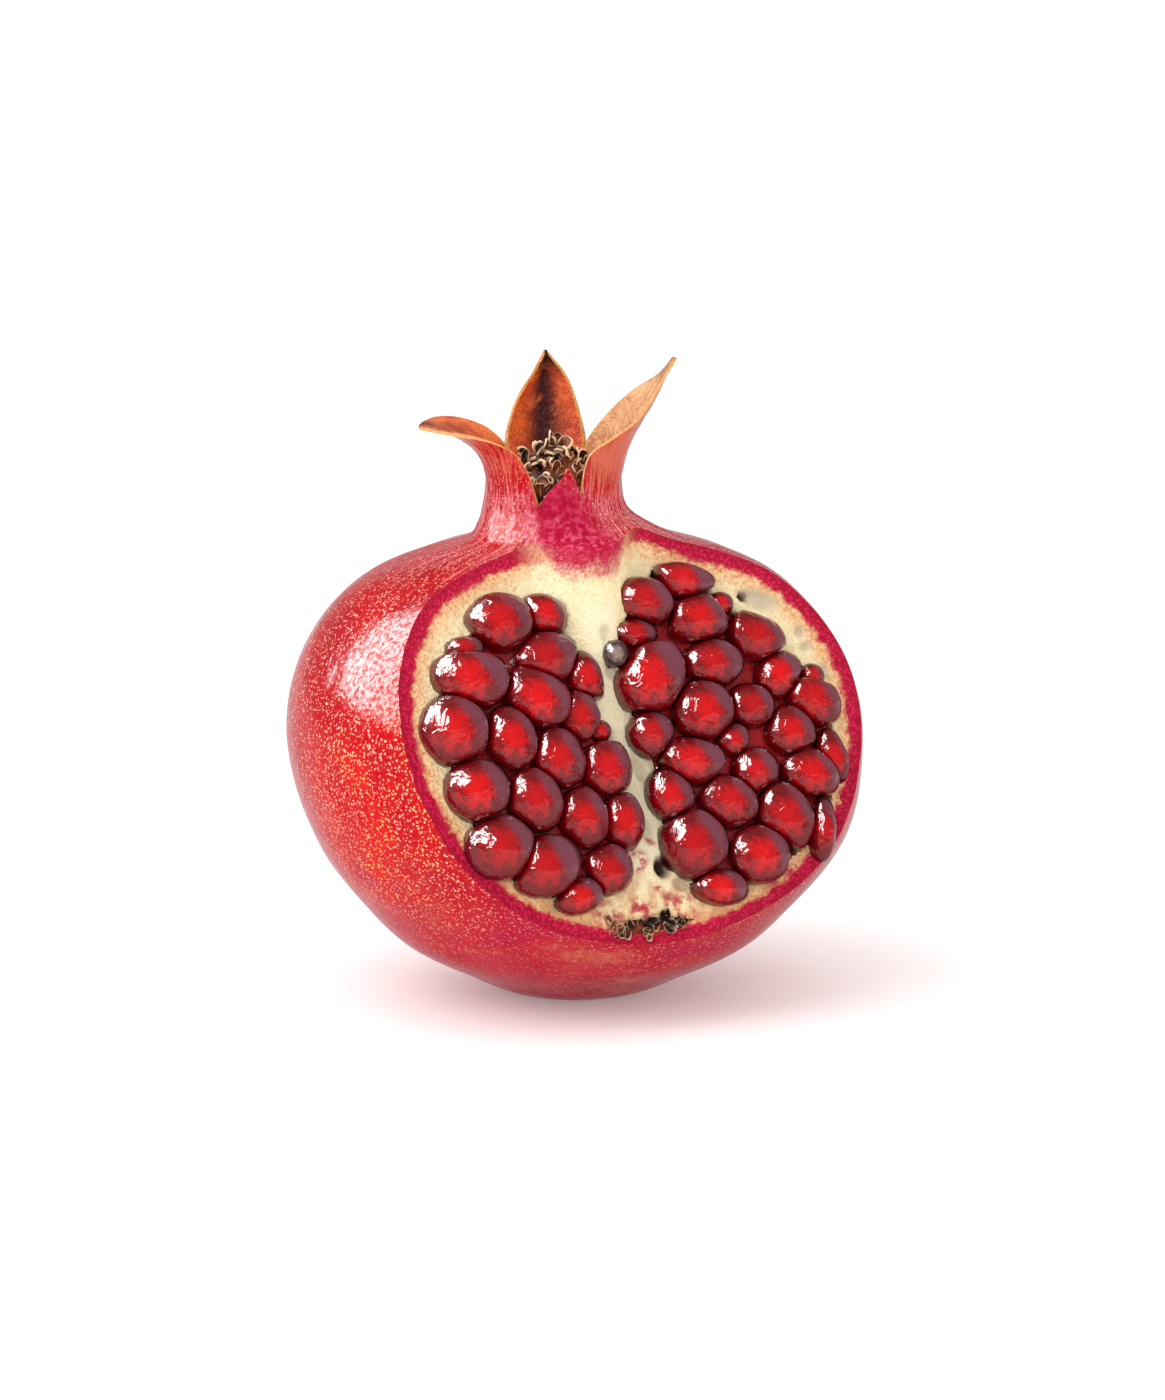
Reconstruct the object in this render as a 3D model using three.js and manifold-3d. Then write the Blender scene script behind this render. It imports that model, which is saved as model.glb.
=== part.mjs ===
// A ripe pomegranate standing on its base with the calyx crown up and one side sliced away.
// The slice shows the pale pith, the membrane between two seed chambers, and the juicy arils.
// Millimetres, +Z up. The origin is on the fruit's axis, in the flat spot that the fruit rests on.
import * as THREE from "three";
import { mergeVertices, toCreasedNormals } from "three/addons/utils/BufferGeometryUtils.js";
import Module from "manifold-3d";

const wasm = await Module();
wasm.setup();

// ---- Driving dimensions -------------------------------------------------------------------

// Outline of the fruit from the edge of its flat spot to the top of its neck: [radius, height].
const OUTLINE = [
  [9.5, 0], [13.2, 1.1], [18, 3.4], [27.5, 8.4], [34.2, 14.9], [39.9, 21.9], [43.3, 29.4],
  [44.8, 37.4], [44.5, 45.4], [42, 53.4], [37.4, 60.4], [31.2, 65.8], [23.2, 69.4],
  [16.2, 71.6], [13.2, 73.6], [11.4, 75.6], [10.2, 77.1],
];
// Where the middle of the fruit is at each height, as it grew a little crooked: [x, height].
const AXIS = [
  [0, 0], [0.4, 13.4], [0.8, 25.4], [0, 37.4], [-0.4, 49.4], [-0.8, 61.4], [-0.4, 67.4],
  [0, 70.9], [-1.7, 73.4], [-3.2, 75.8], [-3.4, 79],
];
const FRUIT_FACETS = 46;
const FRUIT_ROWS = 22;
const INSIDE_FACETS = 30;
const LOBES = 5; // soft ridges running down from the crown
const LOBE_DEPTH = 0.008; // share of the radius
const LOBED_HEIGHT = 75;
const RIND = 2; // thickness of the leathery skin
const CLEARANCE = 0.35; // kept between neighbouring pieces

// The slice: a slightly warped plane, turned and tilted out from the fruit's middle. It rises
// in a rounded ridge to clear the neck.
const MIDDLE_HEIGHT = 37.4;
const SLICE_AZIMUTH = 26.3; // degrees to the right of the front
const SLICE_TILT = 22.75; // degrees up
const SLICE_DISTANCE = 21.1;
const WARP = [1.3, 0.9, 3]; // rise 30 mm across, 30 mm up, and on the diagonal
const RIDGE = 14.5; // the ridge's crest stays this far out from the fruit's axis
const RIDGE_MIDDLE = -3.6;
const RIDGE_CURVE = 7.5;
const RIDGE_BLEND = 9.5;
const SLICE_LINES_ACROSS = [
  -60, -44, -38, -32, -26, -21, -17.5, -15, -12.5, -10, -7.5, -5, -2.5, 0, 2.5, 5, 7.5, 11,
  16, 21, 26, 32, 38, 44, 60,
];
const SLICE_LINES_UP = [
  -60, -38, -30, -22, -14, -6, 1, 6, 10, 13, 16, 19, 22, 25, 28, 31, 34, 38, 44, 60,
];

// The calyx. Sections through each sepal from where it leaves the tube to its tip, and in each
// section one edge, the midrib and the other edge: [azimuth, distance from the tube's axis, height].
const SEPALS = [
  { columns: 8, rows: 8, sections: [
    [[134.5, 10.6, 82.3], [196, 10.6, 80.6], [257.2, 10.6, 77.4]],
    [[135.5, 11.1, 84.7], [194, 11.5, 83.8], [250.5, 11, 82]],
    [[141.5, 12.4, 86.7], [192, 13.3, 86], [240, 11.5, 85.4]],
    [[150, 14.9, 88.4], [191, 16, 87.7], [225, 13.7, 87.3]],
    [[163, 18, 89.2], [191, 18.7, 88.6], [208, 17.9, 88.3]],
    [[190.8, 21.1, 88.9], [192, 21.1, 88.8], [193.2, 21.1, 88.7]],
  ] },
  { columns: 4, rows: 3, sections: [
    [[257.2, 10.6, 77.4], [276.3, 10.6, 78.2], [295.4, 10.6, 79]],
    [[265.5, 10.8, 79.8], [278, 10.9, 80.1], [290.8, 10.8, 80.4]],
    [[275, 11, 81.7], [280.4, 11.1, 82], [286.4, 11, 82.1]],
    [[280.8, 11.2, 83.3], [282, 11.2, 83.4], [283.2, 11.2, 83.3]],
  ] },
  { columns: 8, rows: 9, sections: [
    [[295.4, 10.6, 79], [359, 10.6, 81], [423, 10.6, 82.3]],
    [[295.4, 10.9, 82.4], [359, 11.4, 84.5], [422, 11.1, 84.8]],
    [[301, 11.4, 85.6], [360, 12.5, 87.3], [415, 11.7, 87.3]],
    [[318, 12.8, 88], [362, 13.8, 89.7], [405, 12.5, 89.9]],
    [[335, 14.8, 90.7], [365, 15.2, 92.4], [393, 14.2, 92.8]],
    [[342, 16.9, 95], [362, 17, 95.6], [380, 16.7, 95.4]],
    [[356, 18.9, 99.1], [357, 18.9, 99.2], [358, 18.9, 99.3]],
  ] },
  { columns: 7, rows: 8, sections: [
    [[63, 10.6, 82.3], [98.7, 10.6, 82.2], [134.5, 10.6, 82.3]],
    [[63, 11, 85.4], [98.5, 11.5, 85.6], [134.4, 11, 85.2]],
    [[67, 11.1, 88.4], [98.2, 12.2, 89.2], [129.5, 11.1, 88.5]],
    [[72.3, 11.4, 91.7], [98, 12.6, 92.8], [120.8, 11.4, 91.9]],
    [[80, 11.4, 95.3], [97.4, 12.3, 96], [107.6, 11.4, 95.4]],
    [[95.4, 10.7, 99.2], [97, 10.7, 99.3], [98.6, 10.7, 99.2]],
  ] },
];
const TUBE_FOOT = [10.2, 77.1]; // radius and height, on top of the neck
const TUBE_ROWS = 2;
const TUBE_WALL = 1.6;
const SEPAL_WALL = 0.75;
const CUP_FLOOR = 75.4;

// Arils on the slice, as ovals seen from straight out of it: [across, up, width, height, turn].
const LEFT_ARILS = [
  [-19.8, 17.2, 10.2, 8.6, 0], [-12, 17.6, 7.8, 6.2, -35], [-26.3, 13.2, 6.4, 4, 0],
  [-27, 8.4, 11.8, 9, -20], [-13.6, 10.6, 11.4, 7.2, 15], [-7.4, 7.4, 5.4, 8, 10],
  [-16.6, 4.3, 11.2, 8, -40], [-9.7, 1.3, 6.6, 7.6, 10], [-6.2, -1.2, 3.6, 3.6, 0],
  [-30.8, 0.8, 10, 10.4, 0], [-22.1, -1.4, 7.4, 9.4, 15], [-15, -5, 7.8, 9, 20],
  [-6.4, -7, 8.2, 8.7, 0], [-29, -8.7, 9.8, 8.8, -10], [-19.9, -10.9, 7.9, 9.4, 20],
  [-12, -14.2, 7.2, 8.7, 10], [-5, -15.2, 6.8, 8.8, 0], [-24.8, -16.9, 9.6, 8.5, -10],
  [-19.7, -21.1, 10.6, 8.8, 10], [-8.8, -22.6, 8, 7.4, 0], [-14.2, -26, 8, 5.4, 10],
];
const RIGHT_ARILS = [
  [4.7, 18.4, 9.6, 7.2, -20], [11.7, 20.9, 10.8, 5.6, -15], [13.1, 14.7, 9.8, 7.4, 5],
  [17.4, 16.7, 4.2, 3.9, 0], [22.3, 10.9, 9.8, 7, -20], [2.5, 13.3, 7.4, 4.3, -10],
  [-2, 10.3, 3.9, 4.2, 0], [3, 6.3, 12, 10.2, 55], [13.9, 7.6, 8.8, 6.9, 0],
  [24.8, 5, 8.2, 6.4, 35], [30, 0.4, 9.8, 8, -30], [31, 4.2, 4.2, 4, 0],
  [11.1, 0.3, 9, 8.9, 0], [19.2, 0.3, 7, 6.4, 0], [1.8, -2.3, 7.1, 6.6, 0],
  [25.1, -4.2, 7.6, 7, -20], [31, -8, 4.6, 8.4, 10], [15.1, -4.8, 5.6, 4.6, 20],
  [27.2, -11.2, 9.6, 7.2, -20], [7.5, -7.4, 10.8, 6.6, -15], [17.6, -9.9, 6.9, 6.9, 0],
  [3.1, -12.2, 6.9, 7.6, 20], [12.4, -14.1, 9, 7.2, -30], [21.1, -17.6, 11.2, 8, -65],
  [25, -17.9, 4, 8.2, -12], [5.4, -20, 9.8, 10.4, 20], [16, -23, 9.3, 8.6, -15],
  [8.6, -27.3, 9.3, 5.4, -10],
];
const ARIL_SIDES = 8;
const ARIL_RINGS = 7;
const ARIL_SWELL = 1.1; // a free aril outgrows the oval that its neighbours leave it
const ARIL_OUT = 0.95; // how far it stands out, as a share of its mean radius
const ARIL_IN = 1.3; // how far it reaches in
const ARIL_PRESS = 8; // higher presses the arils into harder-edged shapes
const ARIL_GROOVE = 0.1;
const ARIL_EDGE_RAISED = 0.4; // arils stand this far off the slice at a chamber's edge
const ARIL_MIDDLE_RAISED = 2; // and in its middle

// The arils packed behind fill each chamber as a bed, drawn as its outline on the slice.
const LEFT_BED = [
  [-20.5, 18.5], [-12, 19], [-8.5, 13], [-6, 8], [-6.8, 1], [-4.6, -7], [-3.4, -15.5],
  [-6.5, -23], [-14, -26.6], [-21, -23], [-28, -18], [-31.4, -9], [-33, 1], [-29.5, 9.5],
  [-26.2, 14],
];
const RIGHT_BED = [
  [4, 19.6], [11, 22], [17.6, 17.4], [24, 12], [27.5, 6.5], [33, 5.4], [32.8, -8], [28.4, -20],
  [20, -24.4], [10, -28], [4.6, -24], [2, -19], [1.4, -12], [2.4, -7], [0.2, -2], [-0.4, 6],
  [-2.2, 10.6], [1.2, 16],
];
const BED_TOP = -0.4;
const BED_FLOOR = -8;

// Seats that have lost their aril, pressed into the pith: [across, up, radius].
const EMPTY_SEATS = [
  [22.8, 17, 2.2], [26.2, 14.8, 1.6], [30.4, 11.2, 1.2], [0.3, -23.8, 1.8], [1.6, -27.4, 1],
];
const SEAT_OUT = 0.5; // a seat's centre stands out of the pith, as a share of its radius

// The corky scar of the stalk, caught by the slice at the lower rim.
const SCAR = { across: -3.5, up: -31.6, width: 12.6, height: 2.3, depth: 1.3 };
const SCAR_SCRAPS = 9;
const SCRAP_LENGTH = 2.3;

// Dried stamens packed in the calyx.
const STAMEN_RADIUS = 8.4;
const STAMEN_EDGE = 80;
const STAMEN_TOP = 86.4;
const STAMENS = 46;
const STAMEN_LENGTH = 3.4;
const STAMEN_WIDTH = 1.5;

// ---- Small helpers ------------------------------------------------------------------------

const { degToRad, lerp, smoothstep } = THREE.MathUtils;

// A repeatable draw between 0 and 1.
function seeded(state) {
  return () => {
    state = (state * 1103515245 + 12345) % 2147483648;
    return state / 2147483648;
  };
}

function movePoints(geometry, move) {
  const place = geometry.attributes.position;
  const point = new THREE.Vector3();
  for (let i = 0; i < place.count; i++) {
    move(point.fromBufferAttribute(place, i));
    place.setXYZ(i, point.x, point.y, point.z);
  }
  return geometry;
}

function solidOf(geometry) {
  geometry.deleteAttribute("normal");
  geometry.deleteAttribute("uv");
  const merged = mergeVertices(geometry, 1e-4);
  return new wasm.Manifold(new wasm.Mesh({
    numProp: 3,
    vertProperties: merged.attributes.position.array,
    triVerts: new Uint32Array(merged.index.array),
  }));
}

function geometryOf(solid) {
  const { vertProperties, triVerts } = solid.getMesh();
  const geometry = new THREE.BufferGeometry();
  geometry.setAttribute("position", new THREE.BufferAttribute(vertProperties, 3));
  geometry.setIndex(new THREE.BufferAttribute(triVerts, 1));
  return toCreasedNormals(geometry, degToRad(35));
}

// A sheet with thickness. front and back are grids of points, [row][column]; the sheet's side
// edges are closed from the row openFrom up, and its first and last rows all along.
function sheet(front, back, openFrom = 0) {
  const points = [];
  const quad = (a, b, c, d) => points.push(a, b, c, a, c, d);
  const rows = front.length - 1;
  const columns = front[0].length - 1;
  for (let j = 0; j < columns; j++) {
    for (let i = 0; i < rows; i++) {
      quad(front[i][j], front[i][j + 1], front[i + 1][j + 1], front[i + 1][j]);
      points.push(back[i][j], back[i + 1][j + 1], back[i][j + 1]);
      points.push(back[i][j], back[i + 1][j], back[i + 1][j + 1]);
    }
    quad(back[0][j], back[0][j + 1], front[0][j + 1], front[0][j]);
    quad(front[rows][j], front[rows][j + 1], back[rows][j + 1], back[rows][j]);
  }
  for (let i = openFrom; i < rows; i++) {
    quad(back[i][0], front[i][0], front[i + 1][0], back[i + 1][0]);
    quad(front[i][columns], back[i][columns], back[i + 1][columns], front[i + 1][columns]);
  }
  return points;
}

// ---- The fruit's body ---------------------------------------------------------------------

const axisCurve = new THREE.SplineCurve(AXIS.map(([x, z]) => new THREE.Vector2(x, z)));
const axisPoints = axisCurve.getPoints(60);

function axisAt(z) {
  const above = axisPoints.findIndex((point) => point.y > z);
  if (above < 1) return z > 0 ? AXIS.at(-1)[0] : 0;
  const [low, high] = [axisPoints[above - 1], axisPoints[above]];
  return lerp(low.x, high.x, (z - low.y) / (high.y - low.y));
}

// The outline from the flat spot to the neck, set in by an amount measured square to the skin.
function outlineSetIn(inset, rows) {
  const curve = new THREE.SplineCurve(OUTLINE.map(([r, z]) => new THREE.Vector2(r, z)));
  return Array.from({ length: rows + 1 }, (_, i) => {
    const point = curve.getPoint(i / rows);
    const along = curve.getTangent(i / rows);
    return new THREE.Vector2(point.x - along.y * inset, point.y + along.x * inset);
  });
}

// Turns a profile about the fruit's axis, with its soft lobes and crooked growth.
function turned(profile, facets) {
  const geometry = new THREE.LatheGeometry(profile, facets);
  geometry.rotateX(Math.PI / 2);
  return solidOf(movePoints(geometry, (point) => {
    const share = THREE.MathUtils.clamp(point.z / LOBED_HEIGHT, 0, 1);
    const swell = LOBE_DEPTH * Math.sin(Math.PI * share) ** 2;
    const lobe = 1 + swell * Math.sin(LOBES * Math.atan2(point.y, point.x));
    point.set(point.x * lobe + axisAt(point.z), point.y * lobe, point.z);
  }));
}

// The whole fruit below the sepals, with the floor of the calyx cup on top.
function fruit() {
  const mouth = OUTLINE.at(-1)[0] - 1;
  return turned([
    new THREE.Vector2(0, 0), ...outlineSetIn(0, FRUIT_ROWS),
    new THREE.Vector2(mouth, OUTLINE.at(-1)[1]), new THREE.Vector2(mouth, CUP_FLOOR),
    new THREE.Vector2(0, CUP_FLOOR),
  ], FRUIT_FACETS);
}

// What lies inside the rind: everything further than inset from the skin.
function inside(inset) {
  const top = CUP_FLOOR - inset;
  const sides = outlineSetIn(inset, OUTLINE.length - 1).filter(({ y }) => y < top - 0.5);
  return turned([
    new THREE.Vector2(0, inset), ...sides,
    new THREE.Vector2(sides.at(-1).x - 0.3, top), new THREE.Vector2(0, top),
  ], INSIDE_FACETS);
}

// ---- The slice ----------------------------------------------------------------------------

const sliceTurn = degToRad(SLICE_AZIMUTH);
const sliceTilt = degToRad(SLICE_TILT);
const outward = new THREE.Vector3(
  Math.sin(sliceTurn) * Math.cos(sliceTilt), -Math.cos(sliceTurn) * Math.cos(sliceTilt),
  Math.sin(sliceTilt),
);
const across = new THREE.Vector3(Math.cos(sliceTurn), Math.sin(sliceTurn), 0);
const sliceMiddle = outward.clone().multiplyScalar(SLICE_DISTANCE);
sliceMiddle.z += MIDDLE_HEIGHT;
const sliceFrame = new THREE.Matrix4()
  .makeBasis(across, outward.clone().cross(across), outward).setPosition(sliceMiddle);

// How far the cut surface stands out of the slice's plane.
function sliceRise(a, b) {
  const [wideways, endways, diagonal] = WARP;
  const warp = wideways * (a / 30) ** 2 + endways * (b / 30) ** 2
    + diagonal * (a / 30) * (b / 30) ** 2;
  const fromAxis = SLICE_DISTANCE * Math.cos(sliceTilt) - b * Math.sin(sliceTilt);
  const crest = RIDGE - (a - RIDGE_MIDDLE) ** 2 / RIDGE_CURVE;
  const short = (crest - fromAxis) / Math.cos(sliceTilt);
  if (short < -RIDGE_BLEND) return warp;
  if (short > RIDGE_BLEND) return warp + short;
  return warp + (short + RIDGE_BLEND) ** 2 / (4 * RIDGE_BLEND);
}

// The slab of fruit that the knife took away.
function slicedAway() {
  const grid = (height) => SLICE_LINES_UP.map((b) => SLICE_LINES_ACROSS.map((a) =>
    new THREE.Vector3(a, b, height(a, b)).applyMatrix4(sliceFrame)));
  const points = sheet(grid(() => 100), grid(sliceRise));
  return solidOf(new THREE.BufferGeometry().setFromPoints(points));
}

// ---- The calyx ----------------------------------------------------------------------------

// A point of a sepal: s from one edge (-1) to the other (1), t from the tube (0) to the tip (1).
function sepalPoint(ribs, s, t) {
  const [first, midrib, last] = ribs.map((rib) => rib.getPoint(THREE.MathUtils.clamp(t, 0, 1)));
  const place = midrib.clone().addScaledVector(last.clone().sub(first), s / 2);
  return place.addScaledVector(first.add(last).divideScalar(2).sub(midrib), s * s);
}

function onTube({ x: azimuth, y: radius, z: height }) {
  const angle = degToRad(azimuth);
  return new THREE.Vector3(
    radius * Math.cos(angle) + AXIS.at(-1)[0], radius * Math.sin(angle), height);
}

function calyx() {
  const points = [];
  for (const { columns, rows, sections } of SEPALS) {
    const ribs = [0, 1, 2].map((k) => new THREE.CatmullRomCurve3(
      sections.map((section) => new THREE.Vector3(...section[k])), false, "catmullrom"));
    const front = [];
    const back = [];
    for (let i = 0; i <= TUBE_ROWS + rows; i++) {
      const t = (i - TUBE_ROWS) / rows;
      const wall = lerp(TUBE_WALL, SEPAL_WALL, smoothstep(t, 0, 0.6));
      const pairs = Array.from({ length: columns + 1 }, (_, j) => {
        const s = (2 * j) / columns - 1;
        const place = sepalPoint(ribs, s, t);
        if (i <= TUBE_ROWS) {
          place.y = lerp(TUBE_FOOT[0], place.y, i / TUBE_ROWS);
          place.z = lerp(TUBE_FOOT[1], place.z, i / TUBE_ROWS);
          const inner = place.clone();
          inner.y -= wall;
          return [onTube(place), onTube(inner)];
        }
        const step = 1e-3;
        const sideways = onTube(sepalPoint(ribs, s + step, t))
          .sub(onTube(sepalPoint(ribs, s - step, t)));
        const along = onTube(sepalPoint(ribs, s, t + step))
          .sub(onTube(sepalPoint(ribs, s, t - step)));
        const outer = onTube(place);
        return [outer, outer.clone().addScaledVector(sideways.cross(along).normalize(), -wall)];
      });
      front.push(pairs.map(([outer]) => outer));
      back.push(pairs.map(([, inner]) => inner));
    }
    points.push(...sheet(front, back, TUBE_ROWS));
  }
  return solidOf(new THREE.BufferGeometry().setFromPoints(points));
}

// ---- Arils --------------------------------------------------------------------------------

// A chamber's arils, each raised off the slice by the chamber's low dome.
function placed(arils) {
  const box = new THREE.Box2().setFromPoints(arils.map(([a, b]) => new THREE.Vector2(a, b)));
  const centre = box.getCenter(new THREE.Vector2());
  const size = box.getSize(new THREE.Vector2());
  return arils.map(([a, b, width, height, turn]) => {
    const away = Math.hypot((2 * (a - centre.x)) / size.x, (2 * (b - centre.y)) / size.y);
    const raised = lerp(ARIL_MIDDLE_RAISED, ARIL_EDGE_RAISED, Math.min(1, away) ** 2);
    return {
      middle: new THREE.Vector3(a, b, sliceRise(a, b) + raised),
      half: [(ARIL_SWELL * width) / 2, (ARIL_SWELL * height) / 2],
      turn: degToRad(turn),
      mean: (ARIL_SWELL * Math.sqrt(width * height)) / 2,
    };
  });
}

// One over an aril's free radius along a direction.
function shortness({ half, turn, mean }, direction) {
  const x = direction.x * Math.cos(turn) + direction.y * Math.sin(turn);
  const y = direction.y * Math.cos(turn) - direction.x * Math.sin(turn);
  const deep = mean * (direction.z > 0 ? ARIL_OUT : ARIL_IN);
  return Math.hypot(x / half[0], y / half[1], direction.z / deep);
}

// One aril: a drop that swells until its neighbours press it flat. grow adds to it all round.
function aril(self, all, grow) {
  const presses = all.filter((other) => other !== self).map((other) => {
    const towards = other.middle.clone().sub(self.middle);
    const distance = towards.length();
    towards.normalize();
    const own = 1 / shortness(self, towards);
    const theirs = 1 / shortness(other, towards.clone().negate());
    return { towards, limit: (distance * own) / (own + theirs) - ARIL_GROOVE };
  }).filter(({ limit }) => limit < 2 * self.mean);
  const geometry = new THREE.SphereGeometry(1, ARIL_SIDES, ARIL_RINGS);
  geometry.rotateX(Math.PI / 2);
  movePoints(geometry, (ray) => {
    ray.normalize();
    let press = shortness(self, ray) ** ARIL_PRESS;
    for (const { towards, limit } of presses) {
      press += (Math.max(0, ray.dot(towards)) / limit) ** ARIL_PRESS;
    }
    ray.multiplyScalar(press ** (-1 / ARIL_PRESS) + grow).add(self.middle);
  });
  return solidOf(geometry.applyMatrix4(sliceFrame));
}

function bed(outline, grow, top) {
  const corners = outline.map(([a, b]) => new THREE.Vector2(a, b));
  const middle = new THREE.Box2().setFromPoints(corners).getCenter(new THREE.Vector2());
  for (const corner of corners) corner.add(corner.clone().sub(middle).setLength(grow));
  const geometry = new THREE.ExtrudeGeometry(new THREE.Shape(corners), {
    depth: top - BED_FLOOR + grow, bevelEnabled: false,
  });
  geometry.translate(0, 0, BED_FLOOR - grow);
  return solidOf(geometry.applyMatrix4(sliceFrame));
}

function cluster(arils, outline) {
  const all = placed(arils);
  return wasm.Manifold.union([
    bed(outline, 0, BED_TOP), ...all.map((one) => aril(one, all, 0)),
  ]);
}

// The room that a chamber's arils take in the pith, open to the slice.
function chamber(arils, outline) {
  const all = placed(arils);
  return wasm.Manifold.union([
    bed(outline, CLEARANCE, 12), ...all.map((one) => aril(one, all, CLEARANCE + 0.1)),
  ]);
}

// ---- Dried scraps: stamens and stalk scar ---------------------------------------------------

// A curled papery scrap: a bent, tapered strip standing on +Z.
function scrap(length, width, bend) {
  const geometry = new THREE.CylinderGeometry(width * 0.28, width * 0.5, length, 4, 2);
  geometry.rotateX(Math.PI / 2);
  geometry.translate(0, 0, length / 2);
  return movePoints(geometry, (point) => {
    const t = point.z / length;
    point.x += bend * length * t * t;
    point.y *= 1.2 - 0.4 * t;
  });
}

function stamens() {
  const random = seeded(11);
  const mound = new THREE.LatheGeometry([
    new THREE.Vector2(0, CUP_FLOOR + CLEARANCE),
    new THREE.Vector2(STAMEN_RADIUS, CUP_FLOOR + CLEARANCE),
    new THREE.Vector2(STAMEN_RADIUS, STAMEN_EDGE),
    new THREE.Vector2(STAMEN_RADIUS * 0.6, lerp(STAMEN_EDGE, STAMEN_TOP, 0.6)),
    new THREE.Vector2(0, STAMEN_TOP),
  ], 14);
  mound.rotateX(Math.PI / 2);
  const parts = [solidOf(mound)];
  for (let i = 0; i < STAMENS; i++) {
    const out = Math.sqrt((i + 0.5) / STAMENS);
    const azimuth = i * Math.PI * (3 - Math.sqrt(5));
    const length = STAMEN_LENGTH * (0.75 + 0.5 * random());
    const piece = scrap(length, STAMEN_WIDTH * (0.8 + 0.5 * random()), random() - 0.5);
    piece.rotateZ(random() * 2 * Math.PI);
    piece.rotateY(out * 0.3 + 0.8 * (random() - 0.5));
    piece.translate(out * (STAMEN_RADIUS - 1.2), 0, lerp(STAMEN_TOP, STAMEN_EDGE, out * out) - 1);
    piece.rotateZ(azimuth);
    parts.push(solidOf(movePoints(piece, (point) => {
      const inward = Math.min(1, STAMEN_RADIUS / Math.hypot(point.x, point.y));
      point.x *= inward;
      point.y *= inward;
    })));
  }
  return wasm.Manifold.union(parts).translate([AXIS.at(-1)[0], 0, 0]);
}

// The scar's woody pad, an oval sunk in the cut edge. grow adds to it all round.
function scarPad(grow) {
  const geometry = new THREE.SphereGeometry(1, 16, 6);
  geometry.scale(SCAR.width / 2 + grow, SCAR.height / 2 + grow, SCAR.depth + grow);
  geometry.translate(SCAR.across, SCAR.up, sliceRise(SCAR.across, SCAR.up));
  return solidOf(geometry.applyMatrix4(sliceFrame));
}

function stemScar() {
  const random = seeded(5);
  const parts = [scarPad(0)];
  for (let i = 0; i < SCAR_SCRAPS; i++) {
    const piece = scrap(SCRAP_LENGTH * (0.7 + 0.6 * random()), 1, random() - 0.5);
    piece.rotateZ(random() * Math.PI);
    piece.rotateY(random() - 0.5);
    const along = ((i + 0.5) / SCAR_SCRAPS - 0.5) * SCAR.width * 0.8;
    piece.translate(SCAR.across + along, SCAR.up, sliceRise(SCAR.across, SCAR.up) - 0.5);
    parts.push(solidOf(piece.applyMatrix4(sliceFrame)));
  }
  return wasm.Manifold.union(parts);
}

// ---- The rind and the pith ------------------------------------------------------------------

function emptySeats() {
  return wasm.Manifold.union(EMPTY_SEATS.map(([a, b, radius]) => {
    const geometry = new THREE.SphereGeometry(radius, 10, 6);
    geometry.translate(a, b, radius * SEAT_OUT + sliceRise(a, b));
    return solidOf(geometry.applyMatrix4(sliceFrame));
  }));
}

const removed = slicedAway();
const rind = fruit().subtract(inside(RIND)).subtract(removed).subtract(scarPad(CLEARANCE));
const pith = inside(RIND + CLEARANCE).subtract(removed)
  .subtract(chamber(LEFT_ARILS, LEFT_BED)).subtract(chamber(RIGHT_ARILS, RIGHT_BED))
  .subtract(emptySeats()).subtract(scarPad(CLEARANCE));

// ---- The assembly -----------------------------------------------------------------------------

const skinRed = new THREE.MeshStandardMaterial({ color: 0xc4263a, roughness: 0.38, metalness: 0 });
const cream = new THREE.MeshStandardMaterial({ color: 0xf0d9a6, roughness: 0.7, metalness: 0 });
const garnet = new THREE.MeshStandardMaterial({ color: 0x8f0a18, roughness: 0.15, metalness: 0 });
const husk = new THREE.MeshStandardMaterial({ color: 0x6b4630, roughness: 0.85, metalness: 0 });

function piece(name, solid, finish) {
  const mesh = new THREE.Mesh(geometryOf(solid), finish.clone());
  mesh.name = name;
  return mesh;
}

const pomegranate = new THREE.Group();
pomegranate.add(
  piece("rind", rind, skinRed),
  piece("calyx", calyx(), skinRed),
  piece("pith", pith, cream),
  piece("arils_left", cluster(LEFT_ARILS, LEFT_BED), garnet),
  piece("arils_right", cluster(RIGHT_ARILS, RIGHT_BED), garnet),
  piece("stamens", stamens(), husk),
  piece("stem_scar", stemScar(), husk),
);

export default pomegranate;
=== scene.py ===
import math

import bpy
import numpy as np
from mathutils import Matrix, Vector, noise


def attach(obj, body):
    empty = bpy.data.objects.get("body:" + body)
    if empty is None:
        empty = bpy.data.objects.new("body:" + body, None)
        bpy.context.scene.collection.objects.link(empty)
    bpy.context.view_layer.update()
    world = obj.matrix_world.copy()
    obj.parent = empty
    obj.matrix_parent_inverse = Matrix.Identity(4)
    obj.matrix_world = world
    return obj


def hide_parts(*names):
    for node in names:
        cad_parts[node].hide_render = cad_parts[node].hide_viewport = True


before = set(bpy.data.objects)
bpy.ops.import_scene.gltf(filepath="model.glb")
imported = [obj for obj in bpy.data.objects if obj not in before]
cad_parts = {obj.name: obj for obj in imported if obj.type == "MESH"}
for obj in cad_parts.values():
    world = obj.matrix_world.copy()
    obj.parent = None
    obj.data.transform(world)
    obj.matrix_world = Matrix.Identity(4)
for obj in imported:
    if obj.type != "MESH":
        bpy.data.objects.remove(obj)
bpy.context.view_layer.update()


# ---- Studio -----------------------------------------------------------------------------------
# A seamless white table under a pale sky. A tall window at the left and a smaller door before it
# draw the square highlights on wet arils and waxy skin, and a softbox fills the shade. Table and
# sky are darker where gloss reflects them, so that the arils stay deep.

LIT_HEIGHT = 0.04  # what the lights face: the middle of the fruit


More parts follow.
